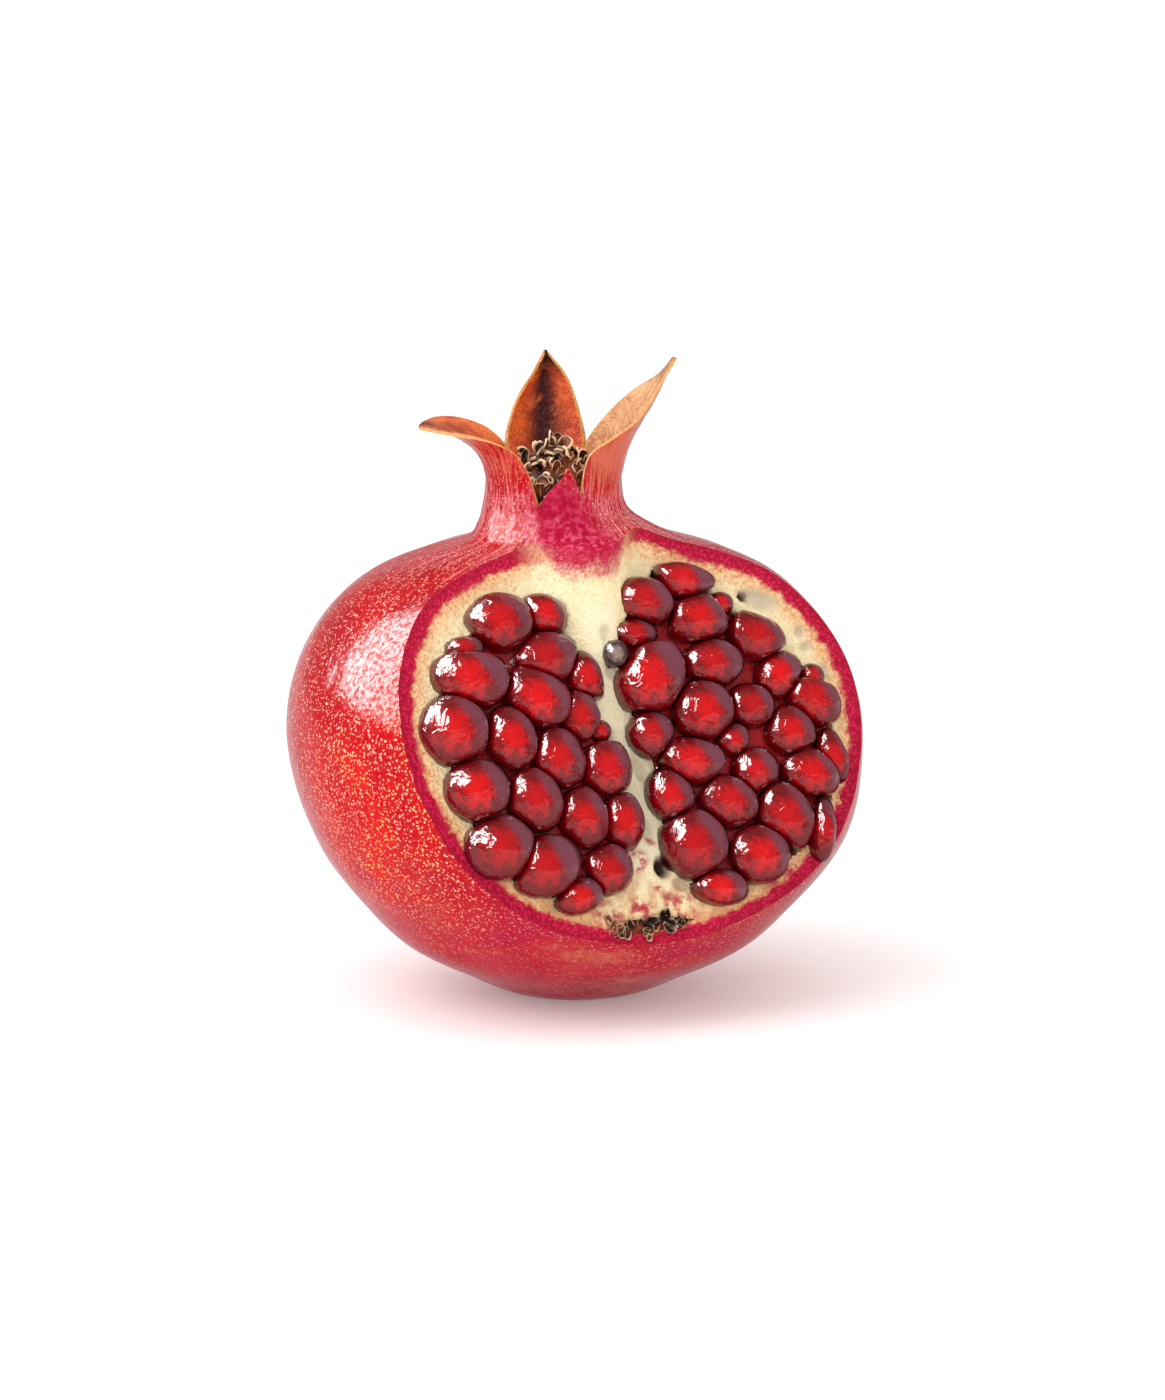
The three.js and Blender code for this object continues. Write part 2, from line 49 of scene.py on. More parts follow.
def lit_by(name, direction, away, wide, high, watts, reflected):
    """A rectangular light that faces the fruit, either mirrored in its gloss or lighting it."""
    lamp = bpy.data.lights.new(name, "AREA")
    lamp.shape = "RECTANGLE"
    lamp.size = wide
    lamp.size_y = high
    lamp.energy = watts
    holder = bpy.data.objects.new(name, lamp)
    direction = Vector(direction).normalized()
    holder.location = Vector((0, 0, LIT_HEIGHT)) + direction * away
    holder.rotation_euler = direction.to_track_quat("Z", "Y").to_euler()
    holder.visible_diffuse = not reflected
    holder.visible_glossy = reflected
    bpy.context.scene.collection.objects.link(holder)


def add_node(tree, kind, sockets=None, **settings):
    """Adds a node, with its settings made and its inputs set or linked."""
    made = tree.nodes.new(kind)
    for name, value in settings.items():
        setattr(made, name, value)
    for name, value in (sockets or {}).items():
        if isinstance(value, bpy.types.NodeSocket):
            tree.links.new(value, made.inputs[name])
        else:
            made.inputs[name].default_value = value
    return made


def new_material(name, **shader):
    """A material with one Principled shader. Returns the material, its tree and the shader."""
    material = bpy.data.materials.new(name)
    material.use_nodes = True
    tree = material.node_tree
    principled = tree.nodes["Principled BSDF"]
    for socket, value in shader.items():
        principled.inputs[socket.replace("_", " ")].default_value = value
    return material, tree, principled


TABLE_HALF = 8.0
TABLE_IN_GLOSS = 0.42
SKY = 1.05
SKY_IN_GLOSS = 0.17
table = bpy.data.meshes.new("table_top")
table.from_pydata([(x * TABLE_HALF, y * TABLE_HALF, 0)
                   for x, y in ((-1, -1), (1, -1), (1, 1), (-1, 1))], [], [(0, 1, 2, 3)])
table_white, tree, shader = new_material(
    "white_table", Base_Color=(0.9, 0.89, 0.89, 1.0), Roughness=0.7, Specular_IOR_Level=0.2,
    Emission_Color=(1.0, 0.97, 0.975, 1.0), Emission_Strength=0.2)
table.materials.append(table_white)
unlit = add_node(tree, "ShaderNodeBsdfDiffuse", {
    "Color": (TABLE_IN_GLOSS, TABLE_IN_GLOSS, TABLE_IN_GLOSS, 1.0)})
seen = add_node(tree, "ShaderNodeMixShader", {
    0: add_node(tree, "ShaderNodeLightPath").outputs["Is Glossy Ray"],
    1: shader.outputs[0], 2: unlit.outputs[0]})
tree.links.new(seen.outputs[0], tree.nodes["Material Output"].inputs["Surface"])
table_top = bpy.data.objects.new("table_top", table)
bpy.context.scene.collection.objects.link(table_top)

sky = bpy.data.worlds.new("pale_sky")
sky.use_nodes = True
background = sky.node_tree.nodes["Background"]
background.inputs["Color"].default_value = (1.0, 0.99, 0.985, 1.0)
ray = add_node(sky.node_tree, "ShaderNodeLightPath").outputs["Is Glossy Ray"]
dimmed = add_node(sky.node_tree, "ShaderNodeMath", {0: ray, 1: SKY_IN_GLOSS - SKY, 2: SKY},
                  operation="MULTIPLY_ADD")
sky.node_tree.links.new(dimmed.outputs[0], background.inputs["Strength"])
bpy.context.scene.world = sky
bpy.context.scene.view_settings.view_transform = "Standard"

lit_by("window", (-0.72, 0.08, 0.60), away=0.9, wide=0.82, high=0.95, watts=43, reflected=True)
lit_by("door", (-0.46, -0.60, 0.66), away=0.9, wide=0.45, high=0.55, watts=10, reflected=True)
lit_by("softbox", (-0.6, -0.3, 0.75), away=1.2, wide=1.3, high=1.3, watts=7, reflected=False)

EYE_RISE = math.radians(11)
EYE_AWAY = 0.8
EYE_LEVEL = 0.0374  # the height on the fruit's axis that the eye turns to
FRAME_HIGH = 0.2184  # height of the picture at the fruit
lens = bpy.data.cameras.new("camera")
lens.sensor_width = 36
lens.lens = lens.sensor_width * EYE_AWAY / FRAME_HIGH
lens.shift_x = 0.0049
lens.shift_y = 0.0376
lens.clip_start = 0.01
lens.clip_end = 50
camera = bpy.data.objects.new("camera", lens)
camera.location = (0, -EYE_AWAY * math.cos(EYE_RISE),
                   EYE_LEVEL + EYE_AWAY * math.sin(EYE_RISE))
camera.rotation_euler = (math.pi / 2 - EYE_RISE, 0, 0)
bpy.context.scene.collection.objects.link(camera)
bpy.context.scene.camera = camera


# ---- Skin and crown ---------------------------------------------------------------------------
# The leathery rind, 2 mm thick, grown in one with the neck and the calyx, whose sepals have
# dried and curled back. Its outline swells to 90 mm and it grew a little crooked. All in mm.

MM = 0.001
OUTLINE = [  # radius and height, from the edge of the flat spot to where the sepals part
    (9.5, 0), (13.2, 1.1), (18, 3.4), (27.5, 8.4), (34.2, 14.9), (39.9, 21.9), (43.3, 29.4),
    (44.8, 37.4), (44.5, 45.4), (42, 53.4), (37.4, 60.4), (31.2, 65.8), (23.2, 69.4),
    (16.2, 71.6), (13.2, 73.6), (11.4, 75.6), (10.7, 77.6), (10.55, 79.8), (10.6, 82.3),
]
NECK_KNOT = 15  # rows follow the outline together up to this knot
AXIS = [(0, 0), (0.4, 13.4), (0.8, 25.4), (0, 37.4), (-0.4, 49.4), (-0.8, 61.4), (-0.4, 67.4),
        (0, 70.9), (-1.7, 73.4), (-3.1, 75.6), (-3.4, 77.4), (-3.4, 79)]
CROWN_X = -3.4
LOBES = 5
LOBE_DEPTH = 0.008
LOBED_HEIGHT = 75
RIND = 2.0

# Sections of each sepal from the tube to its tip: one edge, the midrib and the other edge, each
# as azimuth, distance from the tube's axis, and height.
SEPALS = [
    {"name": "front", "columns": 36, "sections": [
        [(257.2, 10.6, 77.4), (276.3, 10.6, 78.2), (295.4, 10.6, 79)],
        [(265.5, 10.8, 79.8), (278, 10.9, 80.1), (290.8, 10.8, 80.4)],
        [(275, 11, 81.7), (280.4, 11.1, 82), (286.4, 11, 82.1)],
        [(280.8, 11.2, 83.3), (282, 11.2, 83.4), (283.2, 11.2, 83.3)]]},
    {"name": "right", "columns": 96, "sections": [
        [(295.4, 10.6, 79), (359, 10.6, 81), (423, 10.6, 82.3)],
        [(295.4, 10.9, 82.4), (359, 11.4, 84.5), (422, 11.1, 84.8)],
        [(301, 11.4, 85.6), (360, 12.5, 87.3), (415, 11.7, 87.3)],
        [(318, 12.8, 88), (362, 13.8, 89.7), (405, 12.5, 89.9)],
        [(335, 14.8, 90.7), (365, 15.2, 92.4), (393, 14.2, 92.8)],
        [(342, 16.9, 95), (362, 17, 95.6), (380, 16.7, 95.4)],
        [(356, 18.9, 99.1), (357, 18.9, 99.2), (358, 18.9, 99.3)]]},
    {"name": "back", "columns": 60, "sections": [
        [(423, 10.6, 82.3), (458.7, 10.6, 82.2), (494.5, 10.6, 82.3)],
        [(423, 11, 85.4), (458.5, 11.5, 85.6), (494.4, 11, 85.2)],
        [(427, 11.1, 88.4), (458.2, 12.2, 89.2), (489.5, 11.1, 88.5)],
        [(432.3, 11.4, 91.7), (458, 12.6, 92.8), (480.8, 11.4, 91.9)],
        [(440, 11.4, 95.3), (457.4, 12.3, 96), (467.6, 11.4, 95.4)],
        [(455.4, 10.7, 99.2), (457, 10.7, 99.3), (458.6, 10.7, 99.2)]]},
    {"name": "left", "columns": 96, "sections": [
        [(494.5, 10.6, 82.3), (556, 10.6, 80.6), (617.2, 10.6, 77.4)],
        [(495.5, 11.1, 84.7), (554, 11.5, 83.8), (610.5, 11, 82)],
        [(501.5, 12.4, 86.7), (552, 13.3, 86), (600, 11.5, 85.4)],
        [(510, 14.9, 88.4), (551, 16, 87.7), (585, 13.7, 87.3)],
        [(523, 18, 89.2), (551, 18.7, 88.6), (568, 17.9, 88.3)],
        [(550.8, 21.1, 88.9), (552, 21.1, 88.8), (553.2, 21.1, 88.7)]]},
]
SEPAL_ROWS = 34
BODY_STEP = 0.85
FLAT_SPOT = (2.5, 5.0, 7.5)  # radii of the rings under the fruit
TUBE_STEPS = 9
TUBE_WALL = 1.3
SEPAL_WALL = 0.72
CUP_FLOOR = 75.4
CUP = ((9.2, 76.6), (8.7, 75.7), (7.8, CUP_FLOOR), (4, CUP_FLOOR))  # radius and height


def spline(knots, at):
    """Points of a Catmull-Rom curve through knots; at runs from 0 to the last knot's number."""
    knots = np.asarray(knots, float)
    reach = np.concatenate([2 * knots[:1] - knots[1:2], knots, 2 * knots[-1:] - knots[-2:-1]])
    at = np.clip(np.asarray(at, float), 0, len(knots) - 1)
    low = np.minimum(at.astype(int), len(knots) - 2)
    f = (at - low).reshape(at.shape + (1,) * (knots.ndim - 1))
    p0, p1, p2, p3 = (reach[low + k] for k in range(4))
    return 0.5 * (2 * p1 + (p2 - p0) * f + (2 * p0 - 5 * p1 + 4 * p2 - p3) * f ** 2
                  + (3 * p1 - p0 - 3 * p2 + p3) * f ** 3)


def smooth(low, high, value):
    """0 below low, 1 above high, and an S between them."""
    share = np.clip((np.asarray(value, float) - low) / (high - low), 0, 1)
    return share * share * (3 - 2 * share)


def axis_at(height):
    curve = spline(AXIS, np.linspace(0, len(AXIS) - 1, 120))
    return np.interp(height, curve[:, 1], curve[:, 0])


def lobe_at(azimuth, height):
    swell = np.sin(np.pi * np.clip(height / LOBED_HEIGHT, 0, 1)) ** 2
    return 1 + LOBE_DEPTH * swell * np.sin(LOBES * azimuth)


def on_fruit(azimuth, radius, height):
    azimuth, radius, height = np.broadcast_arrays(azimuth, radius, height)
    spread = radius * lobe_at(azimuth, height)
    return np.stack([spread * np.cos(azimuth) + axis_at(height), spread * np.sin(azimuth),
                     height], -1)


def ripple(points, size, seed, octaves=2):
    """Soft noise between about -1 and 1 at each point."""
    flat = np.asarray(points).reshape(-1, 3) / size + seed
    values = [noise.fractal(p, 0.9, 2.1, octaves) for p in flat.tolist()]
    return np.array(values).reshape(np.asarray(points).shape[:-1])


def quads(index):
    """Faces over a grid of vertices, seen from outside with rows up and columns to the left."""
    corners = (index[:-1, :-1], index[:-1, 1:], index[1:, 1:], index[1:, :-1])
    return np.stack(corners, -1).reshape(-1, 4).tolist()


def fan(hub, ring):
    """Triangles from one vertex to a ring."""
    return [(hub, int(b), int(a)) for a, b in zip(ring, np.roll(ring, -1))]


def around(index):
    """The grid with its first column repeated, to close it."""
    return np.concatenate([index, index[:, :1]], 1)


def give(mesh, name, values):
    """Stores a number or a vector on each vertex."""
    values = np.asarray(values, np.float32)
    kind = "FLOAT" if values.ndim == 1 else "FLOAT_VECTOR"
    layer = mesh.attributes.new(name, kind, "POINT")
    layer.data.foreach_set("value" if values.ndim == 1 else "vector", values.ravel())


class Form:
    """Points in mm, faces and vertex marks gathered for one piece."""

    def __init__(self):
        self.points, self.faces, self.finish, self.marks, self.count = [], [], [], {}, 0

    def add(self, grid, **marks):
        """Adds a grid of points and returns their numbers. A mark is a number or a vector."""
        grid = np.asarray(grid, float)
        size = grid[..., 0].size
        index = np.arange(self.count, self.count + size).reshape(grid.shape[:-1])
        self.points.append(grid.reshape(-1, 3))
        for name, values in marks.items():
            values = np.asarray(values, float)
            wide = (3,) if values.shape == (3,) or values.ndim == grid.ndim else ()
            values = np.broadcast_to(values, grid.shape[:-1] + wide).reshape((size,) + wide)
            self.marks.setdefault(name, []).append((self.count, values))
        self.count += size
        return index

    def cover(self, faces, finish=0):
        self.faces += faces
        self.finish += [finish] * len(faces)

    def build(self, name, finishes=()):
        """The finished object, at the origin and in metres."""
        mesh = bpy.data.meshes.new(name)
        mesh.from_pydata((np.concatenate(self.points) * MM).tolist(), [], self.faces)
        for material in finishes:
            mesh.materials.append(material)
        mesh.polygons.foreach_set("material_index", self.finish)
        mesh.shade_smooth()
        for mark, runs in self.marks.items():
            values = np.zeros((self.count,) + runs[0][1].shape[1:])
            for first, run in runs:
                values[first:first + len(run)] = run
            give(mesh, mark, values)
        piece = bpy.data.objects.new(name, mesh)
        bpy.context.scene.collection.objects.link(piece)
        return piece


def outline_rows(step, last_knot):
    """Curve places along the outline, about one step apart."""
    fine = np.linspace(0, last_knot, 1500)
    length = np.concatenate([[0], np.cumsum(np.linalg.norm(
        np.diff(spline(OUTLINE, fine), axis=0), axis=1))])
    count = int(length[-1] / step)
    return np.interp(np.linspace(0, length[-1], count + 1), length, fine)


def sepal_point(sections, s, t):
    """A sepal's outer face: s from one edge (-1) to the other (1), t from the tube to the tip."""
    s, t = np.broadcast_arrays(s, t)
    ribs = spline(sections, t * (len(sections) - 1))
    first, midrib, last = ribs[..., 0, :], ribs[..., 1, :], ribs[..., 2, :]
    s = s[..., None]
    return midrib + (last - first) * s / 2 + ((first + last) / 2 - midrib) * s ** 2


def on_crown(place):
    azimuth = np.radians(place[..., 0])
    return np.stack([place[..., 1] * np.cos(azimuth) + CROWN_X,
                     place[..., 1] * np.sin(azimuth), place[..., 2]], -1)


def relief(points, azimuth):
    """Small swells of the skin, and pleats that gather towards the neck."""
    height = points[..., 2]
    gathered = smooth(62, 70, height) * (1 - smooth(77, 82, height))
    pleats = np.sin(azimuth * 9 + 1.3 * np.sin(azimuth * 2)) + 0.6 * np.sin(azimuth * 17 + 1)
    free = smooth(1.5, 6, height)
    swells = 0.16 * ripple(points, 14, 3) + 0.03 * ripple(points, 3, 8)
    return swells * free + 0.13 * gathered * pleats


def paint(red, green, blue):
    """A screen colour, 0 to 255, as the linear colour that shaders take."""
    channels = np.array([red, green, blue]) / 255
    linear = np.where(channels < 0.04045, channels / 12.92, ((channels + 0.055) / 1.055) ** 2.4)
    return (*linear.tolist(), 1.0)


def maths(tree, operation, first, second=0.0, third=0.0):
    made = add_node(tree, "ShaderNodeMath", {0: first, 1: second, 2: third}, operation=operation)
    return made.outputs[0]


def mask(tree, value, empty, full):
    """Turns a value into a soft mask, 0 at empty and 1 at full."""
    low, high = min(empty, full), max(empty, full)
    ends = {1: low, 2: high, 3: float(full == low), 4: float(full == high)}
    made = add_node(tree, "ShaderNodeMapRange", {0: value, **ends},
                    interpolation_type="SMOOTHSTEP")
    return made.outputs[0]


def mixed(tree, share, under, over):
    made = add_node(tree, "ShaderNodeMix", {0: share, 6: under, 7: over}, data_type="RGBA")
    return made.outputs[2]


def cloud(tree, where, per_metre, detail=2.0, roughness=0.5, distortion=0.0):
    made = add_node(tree, "ShaderNodeTexNoise", {
        "Vector": where, "Scale": per_metre, "Detail": detail, "Roughness": roughness,
        "Distortion": distortion})
    return made.outputs[0]


def dots(tree, where, per_metre):
    """Distance from the nearest of many scattered spots."""
    made = add_node(tree, "ShaderNodeTexVoronoi", {"Vector": where, "Scale": per_metre})
    return made.outputs["Distance"]


def object_place(tree):
    return add_node(tree, "ShaderNodeTexCoord").outputs["Object"]


def mark(tree, name, output="Fac"):
    return add_node(tree, "ShaderNodeAttribute", attribute_name=name).outputs[output]


def bump(tree, height, strength, depth):
    made = add_node(tree, "ShaderNodeBump", {
        "Height": height, "Strength": strength, "Distance": depth})
    return made.outputs["Normal"]


def stretched(tree, where, scale):
    return add_node(tree, "ShaderNodeMapping", {"Vector": where, "Scale": scale}).outputs[0]


def shader_group(name, inputs, outputs):
    """An empty node group. Returns it with its inputs as sockets and its output node."""
    group = bpy.data.node_groups.new(name, "ShaderNodeTree")
    kinds = {"f": "NodeSocketFloat", "v": "NodeSocketVector", "c": "NodeSocketColor"}
    for socket, kind in inputs.items():
        group.interface.new_socket(socket, in_out="INPUT", socket_type=kinds[kind])
    for socket, kind in outputs.items():
        group.interface.new_socket(socket, in_out="OUTPUT", socket_type=kinds[kind])
    given = group.nodes.new("NodeGroupInput").outputs
    return group, given, group.nodes.new("NodeGroupOutput")


def place_group(tree, group, sockets):
    return add_node(tree, "ShaderNodeGroup", sockets, node_tree=group).outputs


def plant_fibres():
    """The mottle of dried or cut plant: soft patches, and a grain four times finer."""
    group, given, result = shader_group(
        "plant_fibres", {"Place": "v", "Size": "f"}, {"Patches": "f", "Grain": "f"})
    place, size = given["Place"], given["Size"]
    fine = maths(group, "MULTIPLY", size, 4.0)
    group.links.new(cloud(group, place, size, 3.0, 0.6, 0.4), result.inputs["Patches"])
    group.links.new(cloud(group, place, fine, 3.0, 0.65, 0.8), result.inputs["Grain"])
    return group


FIBRES = plant_fibres()


def waxy_skin():
    """Red skin with a soft wax gloss, fine pale corky dots, and blushes of yellow and pink."""
    material, tree, shader = new_material(
        "waxy_skin", Sheen_Weight=0.45, Sheen_Roughness=0.21, Sheen_Tint=(1.0, 0.8, 0.85, 1.0))
    where = object_place(tree)
    height = add_node(tree, "ShaderNodeSeparateXYZ", {0: where}).outputs[2]
    large = cloud(tree, where, 38.0, 2.0)
    medium = cloud(tree, where, 150.0, 3.0, 0.6)
    fine = cloud(tree, where, 1500.0, 2.0, 0.6)
    red = mixed(tree, mask(tree, large, 0.38, 0.62), paint(192, 1, 12), paint(176, 2, 22))

    # The underside is duller: weathered, ruddy in places and bleached in others.
    low = mask(tree, maths(tree, "MULTIPLY_ADD", large, 0.018, height), 0.044, 0.014)
    red = mixed(tree, low, red, paint(182, 40, 56))
    red = mixed(tree, mask(tree, medium, 0.48, 0.75), red, paint(168, 2, 22))
    weathered = cloud(tree, stretched(tree, where, (1.0, 1.0, 2.2)), 60.0, 4.0, 0.65)
    ruddy = maths(tree, "MULTIPLY", mask(tree, weathered, 0.50, 0.36), low)
    red = mixed(tree, ruddy, red, paint(172, 14, 58))
    bleached = maths(tree, "MULTIPLY", mask(tree, weathered, 0.54, 0.70), 0.7)
    red = mixed(tree, maths(tree, "MULTIPLY", bleached, low), red, paint(204, 112, 84))

    # Streaks run down from the neck: noise on the direction from the fruit's axis.
    turned = add_node(tree, "ShaderNodeVectorMath", {0: where, 1: (1.0, 1.0, 0.0)},
                      operation="MULTIPLY").outputs[0]
    circle = add_node(tree, "ShaderNodeVectorMath", {0: turned}, operation="NORMALIZE").outputs[0]
    streaky = add_node(tree, "ShaderNodeVectorMath", {
        0: circle, 1: stretched(tree, where, (0.0, 0.0, 9.0))}, operation="ADD").outputs[0]
    streaks = cloud(tree, streaky, 30.0, 4.0, 0.65)

    # Blushes: yellow at the left, pink on the neck, orange on the crown, magenta at its front.
    blush = mark(tree, "yellow_blush")
    yellow = maths(tree, "MULTIPLY", blush, mask(tree, medium, 0.36, 0.66))
    red = mixed(tree, yellow, red, paint(208, 14, 22))
    pink = mask(tree, maths(tree, "MULTIPLY_ADD", mark(tree, "neck_blush"), 0.3, streaks),
                0.70, 0.98)
    red = mixed(tree, pink, red, paint(236, 132, 140))
    orange = mask(tree, maths(tree, "MULTIPLY_ADD", mark(tree, "crown_blush"), 0.45, streaks),
                  0.72, 1.0)
    red = mixed(tree, orange, red, paint(214, 104, 78))
    upper = mask(tree, height, 0.067, 0.077)
    magenta = mixed(tree, upper, paint(206, 34, 80), paint(186, 20, 62))
    mottles = cloud(tree, where, 1000.0, 3.0, 0.6)
    magenta = mixed(tree, maths(tree, "MULTIPLY", mask(tree, mottles, 0.42, 0.66), 0.6), magenta,
                    paint(150, 6, 44))
    lower = maths(tree, "MULTIPLY_ADD", upper, -0.65, 0.8)
    magenta = mixed(tree, maths(tree, "MULTIPLY", mask(tree, mottles, 0.54, 0.38), lower),
                    magenta, paint(236, 124, 152))
    red = mixed(tree, mark(tree, "front_blush"), red, magenta)

    # Corky dots of two sizes gather in chains, and stay off the crown and its front.
    chains = cloud(tree, streaky, 95.0, 3.0, 0.7)
    some = mask(tree, maths(tree, "MULTIPLY_ADD", blush, 0.12, chains), 0.38, 0.58)
    some = maths(tree, "MULTIPLY", some, mask(tree, large, 0.2, 0.5))
    some = maths(tree, "MULTIPLY", some, maths(tree, "MULTIPLY_ADD", low, -0.4, 1.0))
    small = maths(tree, "MULTIPLY", mask(tree, dots(tree, where, 1900.0), 0.32, 0.19), 0.9)
    big = maths(tree, "MULTIPLY", mask(tree, dots(tree, where, 1300.0), 0.31, 0.21), some)
    corky = maths(tree, "MAXIMUM", maths(tree, "MULTIPLY", small, some), big)
    corky = maths(tree, "MAXIMUM", corky, maths(tree, "MULTIPLY", small, 0.07))
    calm = maths(tree, "MAXIMUM", mark(tree, "front_blush"), mark(tree, "crown_blush"))
    corky = maths(tree, "MULTIPLY", corky, mask(tree, calm, 1.1, 0.0))
    dot_colour = mixed(tree, low, paint(255, 184, 160), paint(232, 134, 122))
    dot_colour = mixed(tree, yellow, dot_colour, paint(252, 200, 112))
    colour = mixed(tree, maths(tree, "MULTIPLY", corky, 0.9), red, dot_colour)
    colour = mixed(tree, maths(tree, "MULTIPLY", mask(tree, fine, 0.5, 0.75), 0.4), colour,
                   paint(150, 2, 22))
    tree.links.new(colour, shader.inputs["Base Color"])
    rough = maths(tree, "MULTIPLY_ADD", corky, 0.10, 0.12)
    tree.links.new(maths(tree, "MULTIPLY_ADD", medium, 0.06, rough), shader.inputs["Roughness"])
    wax = maths(tree, "MULTIPLY_ADD", mark(tree, "neck_blush"), -0.2, 0.02)
    wax = maths(tree, "MULTIPLY_ADD", mask(tree, fine, 0.34, 0.66), 0.44, wax)
    wax = maths(tree, "MAXIMUM", wax, 0.05)
    tree.links.new(wax, shader.inputs["Specular IOR Level"])
    grain = maths(tree, "MULTIPLY_ADD", corky, -0.8, fine)
    grain = maths(tree, "MULTIPLY_ADD", medium, 9.0, grain)
    tree.links.new(bump(tree, grain, 0.5, 0.00006), shader.inputs["Normal"])
    return material


def dried_sepal():
    """The inner face of the sepals: dried orange-brown, crumpled, darker down the middle."""
    material, tree, shader = new_material("dried_sepal", Roughness=0.5, Specular_IOR_Level=0.15)
    where = object_place(tree)
    grain = place_group(tree, FIBRES, {"Place": where, "Size": 260.0})
    along = mark(tree, "along")
    rim = mark(tree, "rim")
    dark = mark(tree, "darkened")
    pale = mark(tree, "paled")
    rust = mixed(tree, mask(tree, grain["Patches"], 0.35, 0.65), paint(252, 116, 54),
                 paint(216, 78, 40))
    cream = mixed(tree, mask(tree, grain["Patches"], 0.3, 0.7), paint(240, 180, 120),
                  paint(214, 134, 84))
    colour = mixed(tree, pale, rust, cream)
    middle = maths(tree, "MULTIPLY", mask(tree, rim, 0.75, 0.05), dark)
    colour = mixed(tree, maths(tree, "MULTIPLY", middle, mask(tree, grain["Patches"], 0.2, 0.5)),
                   colour, paint(70, 22, 18))
    scorched = maths(tree, "MULTIPLY", mask(tree, along, 0.72, 0.95),
                     maths(tree, "MAXIMUM", dark, 0.45))
    colour = mixed(tree, scorched, colour, paint(58, 22, 20))
    edge = mask(tree, rim, 0.93, 0.99)
    colour = mixed(tree, edge, colour, paint(240, 170, 96))
    colour = mixed(tree, maths(tree, "MULTIPLY", mask(tree, grain["Grain"], 0.5, 0.8), 0.45),
                   colour, paint(110, 50, 30))
    tree.links.new(colour, shader.inputs["Base Color"])
    tree.links.new(bump(tree, grain["Grain"], 1.0, 0.0007), shader.inputs["Normal"])
    return material


def cut_flesh():
    """A fresh cut by depth in mm: crimson rind, tan fibres, cream pith. Fade blurs it pink."""
    group, given, result = shader_group(
        "cut_flesh", {"Place": "v", "Depth": "f", "Fade": "f"}, {"Colour": "c", "Height": "f"})
    grain = place_group(group, FIBRES, {"Place": given["Place"], "Size": 420.0})
    granule = dots(group, given["Place"], 1900.0)

    # The layers' borders wander with the patches and with single granules.
    wander = maths(group, "MULTIPLY_ADD", grain["Patches"], 2.2, -1.1)
    wander = maths(group, "MULTIPLY_ADD", maths(group, "SUBTRACT", granule, 0.4), 0.7, wander)
    depth = maths(group, "ADD", given["Depth"], wander)
    crimson = mixed(group, mask(group, granule, 0.2, 0.6), paint(226, 30, 84),
                    paint(176, 6, 46))
    outer = maths(group, "MULTIPLY", mask(group, given["Depth"], 1.1, 0.4), 0.35)
    crimson = mixed(group, outer, crimson, paint(150, 4, 38))
    tan = mixed(group, mask(group, grain["Grain"], 0.38, 0.62), paint(252, 206, 148),
                paint(226, 146, 90))
    cream = mixed(group, mask(group, grain["Grain"], 0.42, 0.72), paint(255, 240, 194),
                  paint(250, 214, 150))
    tanned = maths(group, "MULTIPLY", mask(group, depth, 5.6, 2.0),
                   maths(group, "MULTIPLY_ADD", given["Fade"], -0.8, 1.0))
    flesh = mixed(group, tanned, cream, tan)
    pink = mixed(group, mask(group, grain["Grain"], 0.36, 0.66), paint(186, 4, 48),
                 paint(214, 52, 92))

    # Juice stains the outermost pith, and runs down in a tongue where the neck was grazed.
    mottled = maths(group, "MULTIPLY_ADD", wander, 2.4, given["Depth"])
    tongue = maths(group, "MULTIPLY_ADD", mask(group, given["Fade"], 0.3, 1.0), -5.4, 3.6)
    stained = mask(group, maths(group, "ADD", mottled, tongue), 4.0, -1.4)
    stained = maths(group, "MULTIPLY", stained, maths(group, "SUBTRACT", 2.0, stained))
    flesh = mixed(group, stained, flesh, pink)
    firm = maths(group, "SUBTRACT", 1.0, given["Fade"])
    rind = maths(group, "MULTIPLY", mask(group, depth, 2.7, 1.7), firm)
    flesh = mixed(group, rind, flesh, crimson)
    group.links.new(flesh, result.inputs["Colour"])
    rise = maths(group, "MULTIPLY_ADD", granule, -0.6, grain["Grain"])
    group.links.new(rise, result.inputs["Height"])
    return group


CUT_FLESH = cut_flesh()


def cut_rind():
    """The rind's edge, moist and granular where the knife went through."""
    material, tree, shader = new_material("cut_rind", Roughness=0.42, Specular_IOR_Level=0.12)
    flesh = place_group(tree, CUT_FLESH, {
        "Place": object_place(tree), "Depth": mark(tree, "depth"), "Fade": mark(tree, "fade")})
    tree.links.new(flesh["Colour"], shader.inputs["Base Color"])
    tree.links.new(bump(tree, flesh["Height"], 0.7, 0.00035), shader.inputs["Normal"])
    return material


FRUIT_FINISHES = [waxy_skin(), dried_sepal(), cut_rind()]
INNER_FINISH = 1
CUT_FINISH = 2

# The outer face goes from the flat spot up the body and neck, and then up each sepal. The inner
# face comes back down to the floor of the cup.
fruit = Form()
tube_ring = np.concatenate([
    sepal_point(sepal["sections"], np.linspace(-1, 1, sepal["columns"] + 1)[:-1], 0)
    for sepal in SEPALS])
azimuths = np.radians(tube_ring[:, 0])
outward = np.stack([np.cos(azimuths), np.sin(azimuths), 0 * azimuths], -1)
body_rows = outline_rows(BODY_STEP, NECK_KNOT)
tube_knots = np.linspace(NECK_KNOT, len(OUTLINE) - 1, 200)
ring_knots = np.interp(tube_ring[:, 2], spline(OUTLINE, tube_knots)[:, 1], tube_knots)
tube_share = np.linspace(0, 1, TUBE_STEPS + 1)[1:, None]
rows = np.concatenate([np.repeat(body_rows[:, None], len(azimuths), 1),
                       NECK_KNOT + (ring_knots - NECK_KNOT) * tube_share])
profile = spline(OUTLINE, rows)
